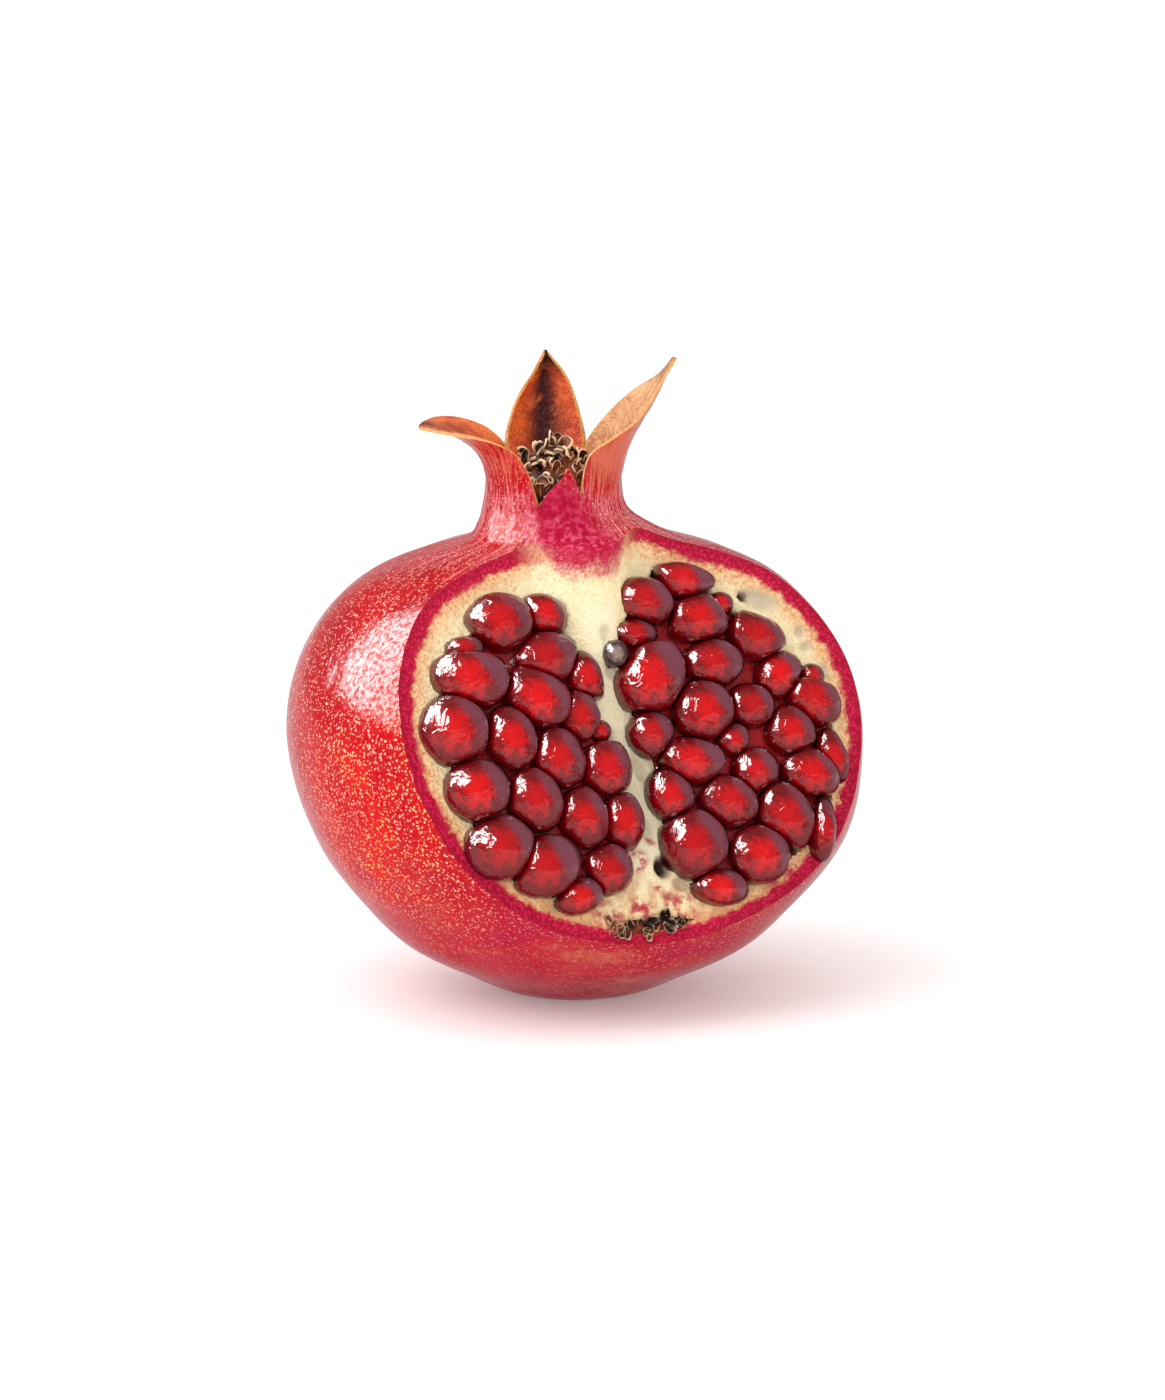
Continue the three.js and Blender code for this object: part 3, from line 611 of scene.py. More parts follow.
body = on_fruit(azimuths, profile[..., 0], profile[..., 1])
body += outward * relief(body, azimuths)[..., None]
flat_spot = on_fruit(azimuths, np.array(FLAT_SPOT)[:, None], 0.0)

hub = fruit.add(np.zeros((1, 3)))
spot = fruit.add(flat_spot)
skin = fruit.add(body)
fruit.cover(fan(int(hub[0]), spot[0]) + quads(around(np.concatenate([spot, skin]))))
ring = skin[-1]
inner_ring = fruit.add(body[-1] - TUBE_WALL * outward)
start = 0
for number, sepal in enumerate(SEPALS):
    columns = sepal["columns"]
    here = np.arange(start, start + columns + 1) % len(ring)
    s = np.linspace(-1, 1, columns + 1)
    t = np.linspace(0, 1, SEPAL_ROWS + 1)[1:, None]
    outer = on_crown(sepal_point(sepal["sections"], s, t))
    joint = body[-1, here] - on_crown(sepal_point(sepal["sections"], s, 0))
    outer = outer + joint * (1 - smooth(0, 0.3, t))[..., None]
    normal = np.cross(np.gradient(outer, axis=1), np.gradient(outer, axis=0))
    normal /= np.linalg.norm(normal, axis=-1, keepdims=True) + 1e-9
    crumple = 0.16 * ripple(outer, 5, 21) * smooth(0, 0.4, t) + 0.05 * ripple(outer, 1.6, 5)
    crumple = crumple * smooth(0, 0.1, t) * (1 - smooth(0.85, 1, t))
    outer = outer + normal * crumple[..., None]
    wall = TUBE_WALL + (SEPAL_WALL - TUBE_WALL) * smooth(0, 0.5, t)
    wall = wall * (1 - 0.5 * np.abs(s) ** 8 * smooth(0, 0.15, t))
    inner = outer - normal * wall[..., None]
    marks = {"along": t + 0 * s, "rim": np.abs(s) + 0 * t, "sepal": float(number)}
    front = np.concatenate([ring[here][None], fruit.add(outer, **marks)])
    back = np.concatenate([inner_ring[here][None], fruit.add(inner, **marks)])
    fruit.cover(quads(front))
    fruit.cover(quads(back[:, ::-1]) + quads(np.stack([back[:, 0], front[:, 0]], 1))
                + quads(np.stack([front[:, -1], back[:, -1]], 1))
                + quads(np.stack([front[-1], back[-1]])), INNER_FINISH)
    start += columns

cup = fruit.add([outward * radius + (CROWN_X, 0, height) for radius, height in CUP])
cup_hub = fruit.add([[CROWN_X, 0, CUP_FLOOR]])
fruit.cover(quads(around(np.concatenate([inner_ring[None], cup]))), INNER_FINISH)
fruit.cover([face[::-1] for face in fan(int(cup_hub[0]), cup[-1])], INNER_FINISH)


# ---- The slice --------------------------------------------------------------------------------
# A knife took a slab off the front right. The cut is almost flat, a little warped, and rises in
# a rounded ridge past the neck. Its face shows the rind's red layer, then fibrous pale pith.

MIDDLE_HEIGHT = 37.4
SLICE_TURN = math.radians(26.3)
SLICE_TILT = math.radians(22.75)
SLICE_DISTANCE = 21.1
WARP = (1.3, 0.9, 3)
RIDGE = 14.5
RIDGE_MIDDLE = -3.6
RIDGE_CURVE = 7.5
RIDGE_BLEND = 9.5
SLICE_STEP = 0.45
SLICE_REACH = (-42, 42, -38, 31.5)
SLAB_TOP = 60
FLESH_ROWS = 110
FLESH_COLUMNS = 144
FLESH_TOP = 73.4
GRAZED_ACROSS = -4.5  # middle of the strip where the knife grazed the neck
RIND_CREASE = math.radians(38)  # sharper edges are shaded as edges

# Where the skin's blushes lie, as azimuths; the yellow one's height follows.
FRONT = 275
SUNNY_SIDE = 330
YELLOW_PATCH = (226, 33)

slice_out = np.array([math.sin(SLICE_TURN) * math.cos(SLICE_TILT),
                      -math.cos(SLICE_TURN) * math.cos(SLICE_TILT), math.sin(SLICE_TILT)])
slice_across = np.array([math.cos(SLICE_TURN), math.sin(SLICE_TURN), 0])
slice_up = np.cross(slice_out, slice_across)
slice_middle = SLICE_DISTANCE * slice_out + (0, 0, MIDDLE_HEIGHT)


def on_slice(a, b, height):
    """A point given by its place across and up the slice, and how far it stands out of it."""
    a, b, height = np.broadcast_arrays(a, b, height)
    return (slice_middle + a[..., None] * slice_across + b[..., None] * slice_up
            + height[..., None] * slice_out)


def slice_rise(a, b):
    wideways, endways, diagonal = WARP
    warp = (wideways * (a / 30) ** 2 + endways * (b / 30) ** 2
            + diagonal * (a / 30) * (b / 30) ** 2)
    from_axis = SLICE_DISTANCE * math.cos(SLICE_TILT) - b * math.sin(SLICE_TILT)
    crest = RIDGE - (a - RIDGE_MIDDLE) ** 2 / RIDGE_CURVE
    short = (crest - from_axis) / math.cos(SLICE_TILT)
    blend = (np.clip(short, -RIDGE_BLEND, RIDGE_BLEND) + RIDGE_BLEND) ** 2 / (4 * RIDGE_BLEND)
    return warp + np.where(short > RIDGE_BLEND, short, blend)


def places(mesh):
    """The mesh's points in mm."""
    flat = np.empty(3 * len(mesh.vertices), np.float32)
    mesh.vertices.foreach_get("co", flat)
    return flat.reshape(-1, 3).astype(float) / MM


def stored(mesh, name):
    values = np.empty(len(mesh.vertices), np.float32)
    mesh.attributes[name].data.foreach_get("value", values)
    return values


def take_away(piece, cutter):
    """Cuts one solid away from another, and keeps the cutter's finish on the new faces."""
    knife = piece.modifiers.new("knife", "BOOLEAN")
    knife.operation = "DIFFERENCE"
    knife.solver = "MANIFOLD"
    knife.material_mode = "INDEX"
    knife.object = cutter
    whole = piece.evaluated_get(bpy.context.evaluated_depsgraph_get())
    mesh = bpy.data.meshes.new_from_object(whole)
    piece.modifiers.clear()
    mesh.name = piece.name
    piece.data = mesh
    bpy.data.objects.remove(cutter)


def skin_depth(points):
    """How far points lie under the skin."""
    x, y, height = points.T
    azimuth = np.arctan2(y, x - axis_at(height))
    radius = np.hypot(x - axis_at(height), y) / lobe_at(azimuth, height)
    curve = spline(OUTLINE, np.linspace(0, len(OUTLINE) - 1, 260))
    apart = (radius[:, None] - curve[:, 0]) ** 2 + (height[:, None] - curve[:, 1]) ** 2
    return np.sqrt(apart.min(1))


def slab(height, finishes, finish):
    """The removed slab: height gives its inner face over the slice, as a closed solid."""
    low_a, high_a, low_b, high_b = SLICE_REACH
    a = np.arange(low_a, high_a + SLICE_STEP, SLICE_STEP)
    b = np.arange(low_b, high_b + 0.01, SLICE_STEP)[:, None]
    form = Form()
    face = form.add(on_slice(a, b, height(a, b)))
    edge = np.concatenate([face[0, :-1], face[:-1, -1], face[-1, :0:-1], face[:0:-1, 0]])
    edge_a = np.broadcast_to(a, face.shape)
    edge_b = np.broadcast_to(b, face.shape)
    top = form.add(on_slice(edge_a.ravel()[edge], edge_b.ravel()[edge], SLAB_TOP))
    form.cover(quads(face[::-1]) + quads(around(np.stack([edge, top]))), finish)
    form.cover([top.tolist()], finish)
    return form.build("slab", finishes)


def cut_relief(a, b):
    """Fine grain that the blade left, coarser in the fibrous rind."""
    flat = np.stack(np.broadcast_arrays(a, b, 0 * a * b), -1)
    return 0.13 * ripple(flat, 5, 31) + 0.05 * ripple(flat, 1.3, 37, 3)


def flesh_solid(finishes, finish):
    """Everything inside the rind."""
    knots = np.linspace(0, NECK_KNOT - 1, FLESH_ROWS)
    curve = spline(OUTLINE, knots)
    along = np.gradient(curve, axis=0)
    along /= np.linalg.norm(along, axis=1, keepdims=True)
    sides = curve + RIND * np.stack([-along[:, 1], along[:, 0]], 1)
    sides = sides[sides[:, 1] < FLESH_TOP - 0.3]
    azimuth = np.linspace(0, 2 * math.pi, FLESH_COLUMNS, endpoint=False)
    form = Form()
    bottom = form.add([[axis_at(0), 0, RIND]])
    wall = form.add(on_fruit(azimuth, sides[:, :1], sides[:, 1:]))
    lid = form.add(on_fruit(azimuth, sides[-1, 0] - 0.3, FLESH_TOP))
    crown = form.add([[float(axis_at(FLESH_TOP)), 0, FLESH_TOP]])
    form.cover(fan(int(bottom[0]), wall[0]), finish)
    form.cover(quads(around(np.concatenate([wall, lid[None]]))), finish)
    form.cover([face[::-1] for face in fan(int(crown[0]), lid)], finish)
    return form.build("flesh", finishes)


# The rind is the whole fruit less its flesh and less the slab.
rind = fruit.build("rind_and_crown", FRUIT_FINISHES)
take_away(rind, flesh_solid(FRUIT_FINISHES, CUT_FINISH))
take_away(rind, slab(lambda a, b: slice_rise(a, b) + cut_relief(a, b), FRUIT_FINISHES,
                     CUT_FINISH))


def neck_fade(points):
    """1 where the knife grazed the neck and the rind's colours run into the pith."""
    place = points - slice_middle
    across, up = place @ slice_across, place @ slice_up
    return (1 - smooth(3, 11, np.abs(across - GRAZED_ACROSS))) * smooth(12, 24, up)


place = places(rind.data)
height = place[:, 2]
azimuth = np.degrees(np.arctan2(place[:, 1], place[:, 0] - axis_at(height))) % 360
sepal = stored(rind.data, "sepal").round()
give(rind.data, "depth", skin_depth(place))
give(rind.data, "fade", neck_fade(place))
patch = np.hypot(0.75 * (azimuth - YELLOW_PATCH[0]), height - YELLOW_PATCH[1])
give(rind.data, "yellow_blush", 1 - smooth(6, 24, patch + 5 * ripple(place, 9, 2)))
give(rind.data, "neck_blush", smooth(58, 74, height) * (1 - smooth(78, 88, height)))
frontal = 1 - smooth(12, 46, np.abs(azimuth - FRONT) + 14 * smooth(76, 82, height))
tip = 0.8 * smooth(80, 83.5, height)
give(rind.data, "front_blush", frontal * smooth(67, 71, height) * (1 - tip))
sunny = 0.75 + 0.4 * (1 - smooth(10, 60, np.abs(azimuth - SUNNY_SIDE)))
give(rind.data, "crown_blush",
     np.maximum(sunny * smooth(72, 86, height) * (1 - frontal), frontal * tip))
give(rind.data, "darkened", (sepal == 2) + 0.5 * (sepal == 3))
give(rind.data, "paled", (sepal <= 1) + 0.12 * (sepal == 3))
rind.data.set_sharp_from_angle(angle=RIND_CREASE)
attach(rind, "root")
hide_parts("rind", "calyx")


# ---- Pith -------------------------------------------------------------------------------------
# The pale spongy flesh under the rind and the membrane between the two seed chambers, cut
# through by the knife. It holds the arils in seats; a few empty seats and pits are left in it.

LEFT_BED = [  # the chambers' outlines across and up the slice
    (-20.5, 18.5), (-12, 19), (-8.5, 13), (-6, 8), (-6.8, 1), (-4.6, -7), (-3.4, -15.5),
    (-6.5, -23), (-14, -26.6), (-21, -23), (-28, -18), (-31.4, -9), (-33, 1), (-29.5, 9.5),
    (-26.2, 14)]
RIGHT_BED = [
    (4, 19.6), (11, 22), (17.6, 17.4), (24, 12), (27.5, 6.5), (33, 5.4), (32.8, -8),
    (28.4, -20), (20, -24.4), (10, -28), (4.6, -24), (2, -19), (1.4, -12), (2.4, -7),
    (0.2, -2), (-0.4, 6), (-2.2, 10.6), (1.2, 16)]

# Each aril as an oval seen from straight out of the slice: across, up, width, height, turn.
LEFT_ARILS = [
    (-19.8, 17.2, 10.2, 8.6, 0), (-12, 17.6, 7.8, 6.2, -35), (-26.3, 13.2, 6.4, 4, 0),
    (-27, 8.4, 11.8, 9, -20), (-13.6, 10.6, 11.4, 7.2, 15), (-7.4, 7.4, 5.4, 8, 10),
    (-16.6, 4.3, 11.2, 8, -40), (-9.7, 1.3, 6.6, 7.6, 10), (-6.2, -1.2, 3.6, 3.6, 0),
    (-31, 0.8, 10.6, 10.5, 0), (-22.1, -1.4, 7.4, 9.4, 15), (-15, -5, 7.8, 9, 20),
    (-6.4, -7, 8.2, 8.7, 0), (-29, -8.7, 9.8, 8.8, -10), (-19.9, -10.9, 7.9, 9.4, 20),
    (-12, -14.2, 7.2, 8.7, 10), (-5, -15.2, 6.8, 8.8, 0), (-26.2, -17.6, 11, 9.3, -10),
    (-19.7, -21.1, 10.6, 8.8, 10), (-8.8, -22.6, 8, 7.4, 0), (-14.2, -26, 8, 5.4, 10)]
RIGHT_ARILS = [
    (4.7, 18.4, 9.6, 7.2, -20), (11.7, 20.9, 10.8, 5.6, -15), (13.1, 14.7, 9.8, 7.4, 5),
    (17.4, 16.7, 4.2, 3.9, 0), (22.3, 10.9, 9.8, 7, -20), (2.5, 13.3, 7.4, 4.3, -10),
    (-2, 10.3, 3.9, 4.2, 0), (3, 6.3, 12, 10.2, 55), (13.9, 7.6, 8.8, 6.9, 0),
    (24.8, 5, 8.2, 6.4, 35), (30, 0.4, 9.8, 8, -30), (31, 4.2, 4.2, 4, 0),
    (11.1, 0.3, 9, 8.9, 0), (19.2, 0.3, 7, 6.4, 0), (1.8, -2.3, 7.1, 6.6, 0),
    (25.1, -4.2, 7.6, 7, -20), (31.5, -8.8, 5, 8.8, 10), (15.1, -4.8, 5.6, 4.6, 20),
    (27.2, -11.2, 9.6, 7.2, -20), (7.5, -7.4, 10.8, 6.6, -15), (17.6, -9.9, 6.9, 6.9, 0),
    (3.1, -12.2, 6.9, 7.6, 20), (12.4, -14.1, 9, 7.2, -30), (21.1, -17.6, 11.2, 8, -65),
    (27, -20.1, 4.4, 10.2, -12), (5.4, -20, 9.8, 10.4, 20), (16, -23, 9.3, 8.6, -15),
    (8.6, -27.3, 9.3, 5.4, -10)]
CHAMBER_DEPTH = 7.0
CHAMBER_EDGE = 0.9  # how far the wall slopes
SEAT_SHARE = 0.93  # an aril's seat in the pith, as a share of its oval

# Dimples in the pith: across, up, half width, half height, turn, depth.
DIMPLES = [
    (24.3, 16.9, 4.2, 1.9, -22, 0.9), (21.9, 17.8, 1.1, 0.8, 0, 2.4),
    (30.4, 11.4, 1.1, 1.2, 0, 0.8), (31, 9, 1.5, 1, 10, 0.6), (-2.7, 8.3, 1.3, 2.4, 0, 0.5),
    (-4.6, -1.6, 1.5, 1.4, 0, 0.5), (-0.2, -7.6, 1.2, 3, 15, 0.6), (-1, -17, 1.1, 2.4, 0, 0.7),
    (0.6, -22.8, 1.6, 2.1, 0, 2.2), (3.2, -25.7, 1.9, 1.5, -20, 0.8),
    (0.6, -27.4, 1.1, 0.8, 0, 0.9), (33.2, 4.8, 1.3, 1.6, 0, 0.5),
    (-3.2, 13.5, 1.2, 1.8, 0, 0.4), (-17.6, -26.9, 2, 1, 20, 0.4)]
PIT_DEPTH = 2  # deeper dimples are pits, dark inside

SEPTUM = [  # the membrane between the chambers: up and across the slice
    (-28, -0.5), (-21.5, -1.3), (-6.8, -1.7), (0.4, -2.6), (18.5, -4.1)]
STAINS = [  # juice on the pith: across, up, reach
    (-3.4, -21.5, 2.6), (-0.6, -25.5, 1.6), (-0.6, -18.6, 1), (20, -27, 5), (26, -25, 3),
    (-9.5, -29.6, 3.5), (-4.5, -29.4, 3), (1.5, -29.8, 4)]
WALL_FOOT = -12  # the chambers' walls show above this, out of the slice
PITH_CREASE = math.radians(50)


def oval_share(a, b, oval):
    """0 in an oval's middle and 1 on its edge."""
    across, up, half_wide, half_high, turn = oval
    turn = math.radians(turn)
    x = (a - across) * math.cos(turn) + (b - up) * math.sin(turn)
    y = (b - up) * math.cos(turn) - (a - across) * math.sin(turn)
    return np.hypot(x / half_wide, y / half_high)


def outside_of(a, b, corners):
    """Distance from an outline, negative inside."""
    corners = np.array(corners, float)
    nearest = np.full(np.broadcast(a, b).shape, 1e9)
    inside = np.zeros(nearest.shape, bool)
    for (x0, y0), (x1, y1) in zip(corners, np.roll(corners, -1, 0)):
        share = np.clip(((a - x0) * (x1 - x0) + (b - y0) * (y1 - y0))
                        / ((x1 - x0) ** 2 + (y1 - y0) ** 2), 0, 1)
        nearest = np.minimum(nearest, np.hypot(a - x0 - share * (x1 - x0),
                                               b - y0 - share * (y1 - y0)))
        if y0 != y1:
            crosses = (y0 > b) != (y1 > b)
            inside ^= crosses & (a < x0 + (b - y0) / (y1 - y0) * (x1 - x0))
    return np.where(inside, -nearest, nearest)


def chamber_edge(a, b):
    """Distance outside the nearest aril's seat or chamber, negative inside."""
    edge = np.minimum(outside_of(a, b, LEFT_BED), outside_of(a, b, RIGHT_BED))
    for across, up, wide, high, turn in LEFT_ARILS + RIGHT_ARILS:
        half = SEAT_SHARE * np.array([wide, high]) / 2
        share = oval_share(a, b, (across, up, *half, turn))
        edge = np.minimum(edge, (share - 1) * half.mean())
    return edge


def pith_height(a, b):
    a, b = np.broadcast_arrays(a, b)
    height = slice_rise(a, b) + cut_relief(a, b)
    for across, up, wide, high, turn, deep in DIMPLES:
        share = oval_share(a, b, (across, up, wide, high, turn))
        height = height - deep * (1 - smooth(0.3, 1.05, share))
    edge = chamber_edge(a, b)
    height = height + 0.25 * np.exp(-np.clip(edge, 0, 9) / 0.7)
    return height - CHAMBER_DEPTH * (1 - smooth(-CHAMBER_EDGE, 0, edge))


def pale_pith():
    """Spongy cut pith: cream and fibrous, paler on the membrane, toasted at the lower rim."""
    material, tree, shader = new_material("pale_pith", Roughness=0.48, Specular_IOR_Level=0.4)
    where = object_place(tree)
    flesh = place_group(tree, CUT_FLESH, {
        "Place": where, "Depth": mark(tree, "depth"), "Fade": mark(tree, "fade")})
    patches = cloud(tree, where, 500.0, 3.0, 0.6)
    membrane = maths(tree, "MULTIPLY", mark(tree, "membrane"), mask(tree, patches, 0.2, 0.5))
    colour = mixed(tree, membrane, flesh["Colour"], paint(255, 240, 202))
    # Painted shade: the seats left in the pith are greyer, the deeper the darker.
    seat = maths(tree, "MULTIPLY", mark(tree, "seat"), mask(tree, patches, 0.1, 0.5))
    colour = mixed(tree, seat, colour, paint(216, 200, 168))
    toasted = maths(tree, "MULTIPLY", mark(tree, "toasted"), mask(tree, patches, 0.3, 0.62))
    colour = mixed(tree, toasted, colour, paint(218, 158, 106))
    # Painted shade: the deep pits are dark inside.
    colour = mixed(tree, mark(tree, "pit"), colour, paint(64, 40, 34))
    stain = maths(tree, "MULTIPLY", mark(tree, "stain"), mask(tree, patches, 0.42, 0.6))
    colour = mixed(tree, stain, colour, paint(196, 30, 70))
    # Painted shade: the chambers' walls, down among the arils, are dark red.
    colour = mixed(tree, mark(tree, "wall"), colour, paint(120, 26, 30))
    tree.links.new(colour, shader.inputs["Base Color"])
    tree.links.new(bump(tree, flesh["Height"], 0.7, 0.0003), shader.inputs["Normal"])
    return material


PITH_FINISHES = [pale_pith()]
pith = flesh_solid(PITH_FINISHES, 0)
pith.name = "pith"
take_away(pith, slab(pith_height, PITH_FINISHES, 0))
place = places(pith.data) - slice_middle
a, b, out = place @ slice_across, place @ slice_up, place @ slice_out
edge = chamber_edge(a, b)
give(pith.data, "depth", skin_depth(places(pith.data)))
give(pith.data, "fade", neck_fade(places(pith.data)))
on_septum = 1 - smooth(1.5, 4.5, np.abs(a - np.interp(b, *zip(*SEPTUM))))
give(pith.data, "membrane", on_septum * smooth(-30, -24, b) * (1 - smooth(16, 21, b)))
seat = np.zeros(len(a))
pit = np.zeros(len(a))
for across, up, wide, high, turn, deep in DIMPLES:
    share = oval_share(a, b, (across, up, wide, high, turn))
    level = 1 - smooth(0.5, 1.1, share)
    # A dimple's painted shade grows with its depth.
    seat = np.maximum(seat, level * min(1, 0.5 + deep / 2))
    # Deep pits are painted dark inside, as shade.
    if deep > PIT_DEPTH:
        pit = np.maximum(pit, 1 - smooth(0.45, 0.95, share))
give(pith.data, "seat", seat)
give(pith.data, "pit", pit)
stain = np.zeros(len(a))
for across, up, reach in STAINS:
    stain = np.maximum(stain, 1 - smooth(0.3, 1, np.hypot(a - across, b - up) / reach))
give(pith.data, "stain", stain)
give(pith.data, "toasted", 0.9 * smooth(-20, -29, b))
# The chambers' walls are marked for painted shade.
give(pith.data, "wall", smooth(-0.15, -0.8, edge) * (out > WALL_FOOT))
pith.data.set_sharp_from_angle(angle=PITH_CREASE)
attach(pith, "root")
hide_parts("pith")


# ---- Arils ------------------------------------------------------------------------------------
# Juicy red seeds packed in each chamber, each swollen until its neighbours press it flat. The
# glassy flesh has a painted glow where the seed lies close under it, painted shade and a dark
# painted outline at its sides, and a painted mauve sheen at its right side.

ARIL_SIDES = 32
ARIL_RINGS = 22
ARIL_SWELL = (1.03, 1.26)  # of its oval, where it is free and where a neighbour holds it
ARIL_OUT = 0.95
ARIL_IN = 1.3
ARIL_PRESS = 14
ARIL_GROOVE = 0.03
ARIL_RAISED = (2.0, 0.4)  # off the slice, in a chamber's middle and at its edge
BED_LEVEL = 0.1
BED_SWELL = 1.6
BED_BASE = 0.5 - CHAMBER_DEPTH
BED_SIDES = 72
BED_RINGS = 29
ARIL_SEED = 7
UNRIPE = (-2, 10.3, 3.9, 4.2, 0)  # an aril that never coloured


def placed(arils):
    """Each aril's middle on the slice and its free size."""
    spots = np.array(arils, float)
    low, high = spots[:, :2].min(0), spots[:, :2].max(0)
    away = np.linalg.norm(2 * (spots[:, :2] - (low + high) / 2) / (high - low), axis=1)
    raised = ARIL_RAISED[0] + (ARIL_RAISED[1] - ARIL_RAISED[0]) * np.minimum(1, away) ** 2
    rise = slice_rise(spots[:, 0], spots[:, 1])
    middles = np.stack([spots[:, 0], spots[:, 1], rise + raised], -1)
    half = spots[:, 2:4] / 2
    return middles, half, np.radians(spots[:, 4]), np.sqrt(half.prod(1))


def shortness(half, turn, mean, rays):
    """One over an aril's free radius along each ray."""
    x = rays[..., 0] * math.cos(turn) + rays[..., 1] * math.sin(turn)
    y = rays[..., 1] * math.cos(turn) - rays[..., 0] * math.sin(turn)
    deep = mean * np.where(rays[..., 2] > 0, ARIL_OUT, ARIL_IN)
    return np.sqrt((x / half[0]) ** 2 + (y / half[1]) ** 2 + (rays[..., 2] / deep) ** 2)


def aril_rays():
    turn = np.linspace(0, 2 * math.pi, ARIL_SIDES, endpoint=False)
    lean = np.linspace(0, math.pi, ARIL_RINGS + 1)[1:-1, None]
    return np.stack(np.broadcast_arrays(np.sin(lean) * np.cos(turn), np.sin(lean) * np.sin(turn),
                                        np.cos(lean)), -1)


def cover_mound(form, top, rings, foot, bottom):
    """Closes a mound: its top, the rings down its side, the ring at its foot, a point below."""
    form.cover([face[::-1] for face in fan(top.item(), rings[0])])
    form.cover(quads(around(np.concatenate([rings, foot[None]])[::-1])))
    form.cover(fan(bottom.item(), foot))


def add_aril(form, number, middles, half, turns, means, draw, unripe):
    """One aril, pressed by its neighbours."""
    rays = aril_rays()
    poles = np.array([[[0, 0, 1.0]], [[0, 0, -1.0]]])
    tone = draw.random() + 2 * unripe
    seed = draw.random(3)[0] * 40
    grids = []
    for directions in (poles[:1], rays, poles[1:]):
        held = np.zeros(directions.shape[:-1])
        planes = np.zeros(directions.shape[:-1])
        for other in range(len(middles)):
            apart = middles[other] - middles[number]
            distance = np.linalg.norm(apart)
            if other == number or distance > 3 * means[number]:
                continue
            towards = apart / distance
            own = 1 / shortness(half[number], turns[number], means[number], towards)
            theirs = 1 / shortness(half[other], turns[other], means[other], -towards)
            limit = distance * own / (own + theirs) - ARIL_GROOVE
            facing = np.maximum(0, directions @ towards)
            planes += (facing / limit) ** ARIL_PRESS
            held += facing ** 4 * (limit < 1.5 * own)
        swell = ARIL_SWELL[0] + (ARIL_SWELL[1] - ARIL_SWELL[0]) * np.minimum(1, held)
        free = shortness(half[number], turns[number], means[number], directions) / swell
        # A high power joins the free oval and its neighbours' planes with small round edges.
        radius = (free ** ARIL_PRESS + planes) ** (-1 / ARIL_PRESS)
        radius = radius * (1 + 0.02 * ripple(directions, 0.8, seed))
        place = middles[number] + directions * radius[..., None]
        grids.append(form.add(on_slice(place[..., 0], place[..., 1], place[..., 2]),
                              local=directions, tone=tone))
    top, wall, bottom = grids
    form.cover(quads(around(wall[::-1])))
    form.cover([face[::-1] for face in fan(int(top[0, 0]), wall[0])])
    form.cover(fan(int(bottom[0, 0]), wall[-1]))


def add_bed(form, outline):
    """The arils packed behind, as one lumpy floor between those on show."""
    corners = np.array(outline)
    centre = (corners.min(0) + corners.max(0)) / 2
    azimuth = np.arctan2(*(corners - centre).T[::-1])
    order = np.argsort(azimuth)
    turn = np.linspace(-math.pi, math.pi, BED_SIDES, endpoint=False)
    reach = np.interp(turn, azimuth[order], np.linalg.norm(corners - centre, axis=1)[order],
                      period=2 * math.pi) + 1.0
    share = np.linspace(0, 1, BED_RINGS + 1)[1:, None]
    a = centre[0] + share * reach * np.cos(turn)
    b = centre[1] + share * reach * np.sin(turn)
    level = BED_LEVEL + BED_SWELL * (1 - share ** 2) - 1.5 * smooth(0.8, 1, share)
    level = level + 0.35 * ripple(np.stack([a, b, 0 * a], -1), 3, 50)
    summit = slice_rise(*centre) + BED_LEVEL + BED_SWELL
    marks = {"local": (0, 0, -1), "tone": 0.5, "bed": 1}
    cover_mound(form, top=form.add(on_slice(*centre, summit)[None], **marks),
                rings=form.add(on_slice(a, b, slice_rise(a, b) + level), **marks),
                foot=form.add(on_slice(a[-1], b[-1], BED_BASE), **marks),
                bottom=form.add(on_slice(*centre, BED_BASE)[None], **marks))


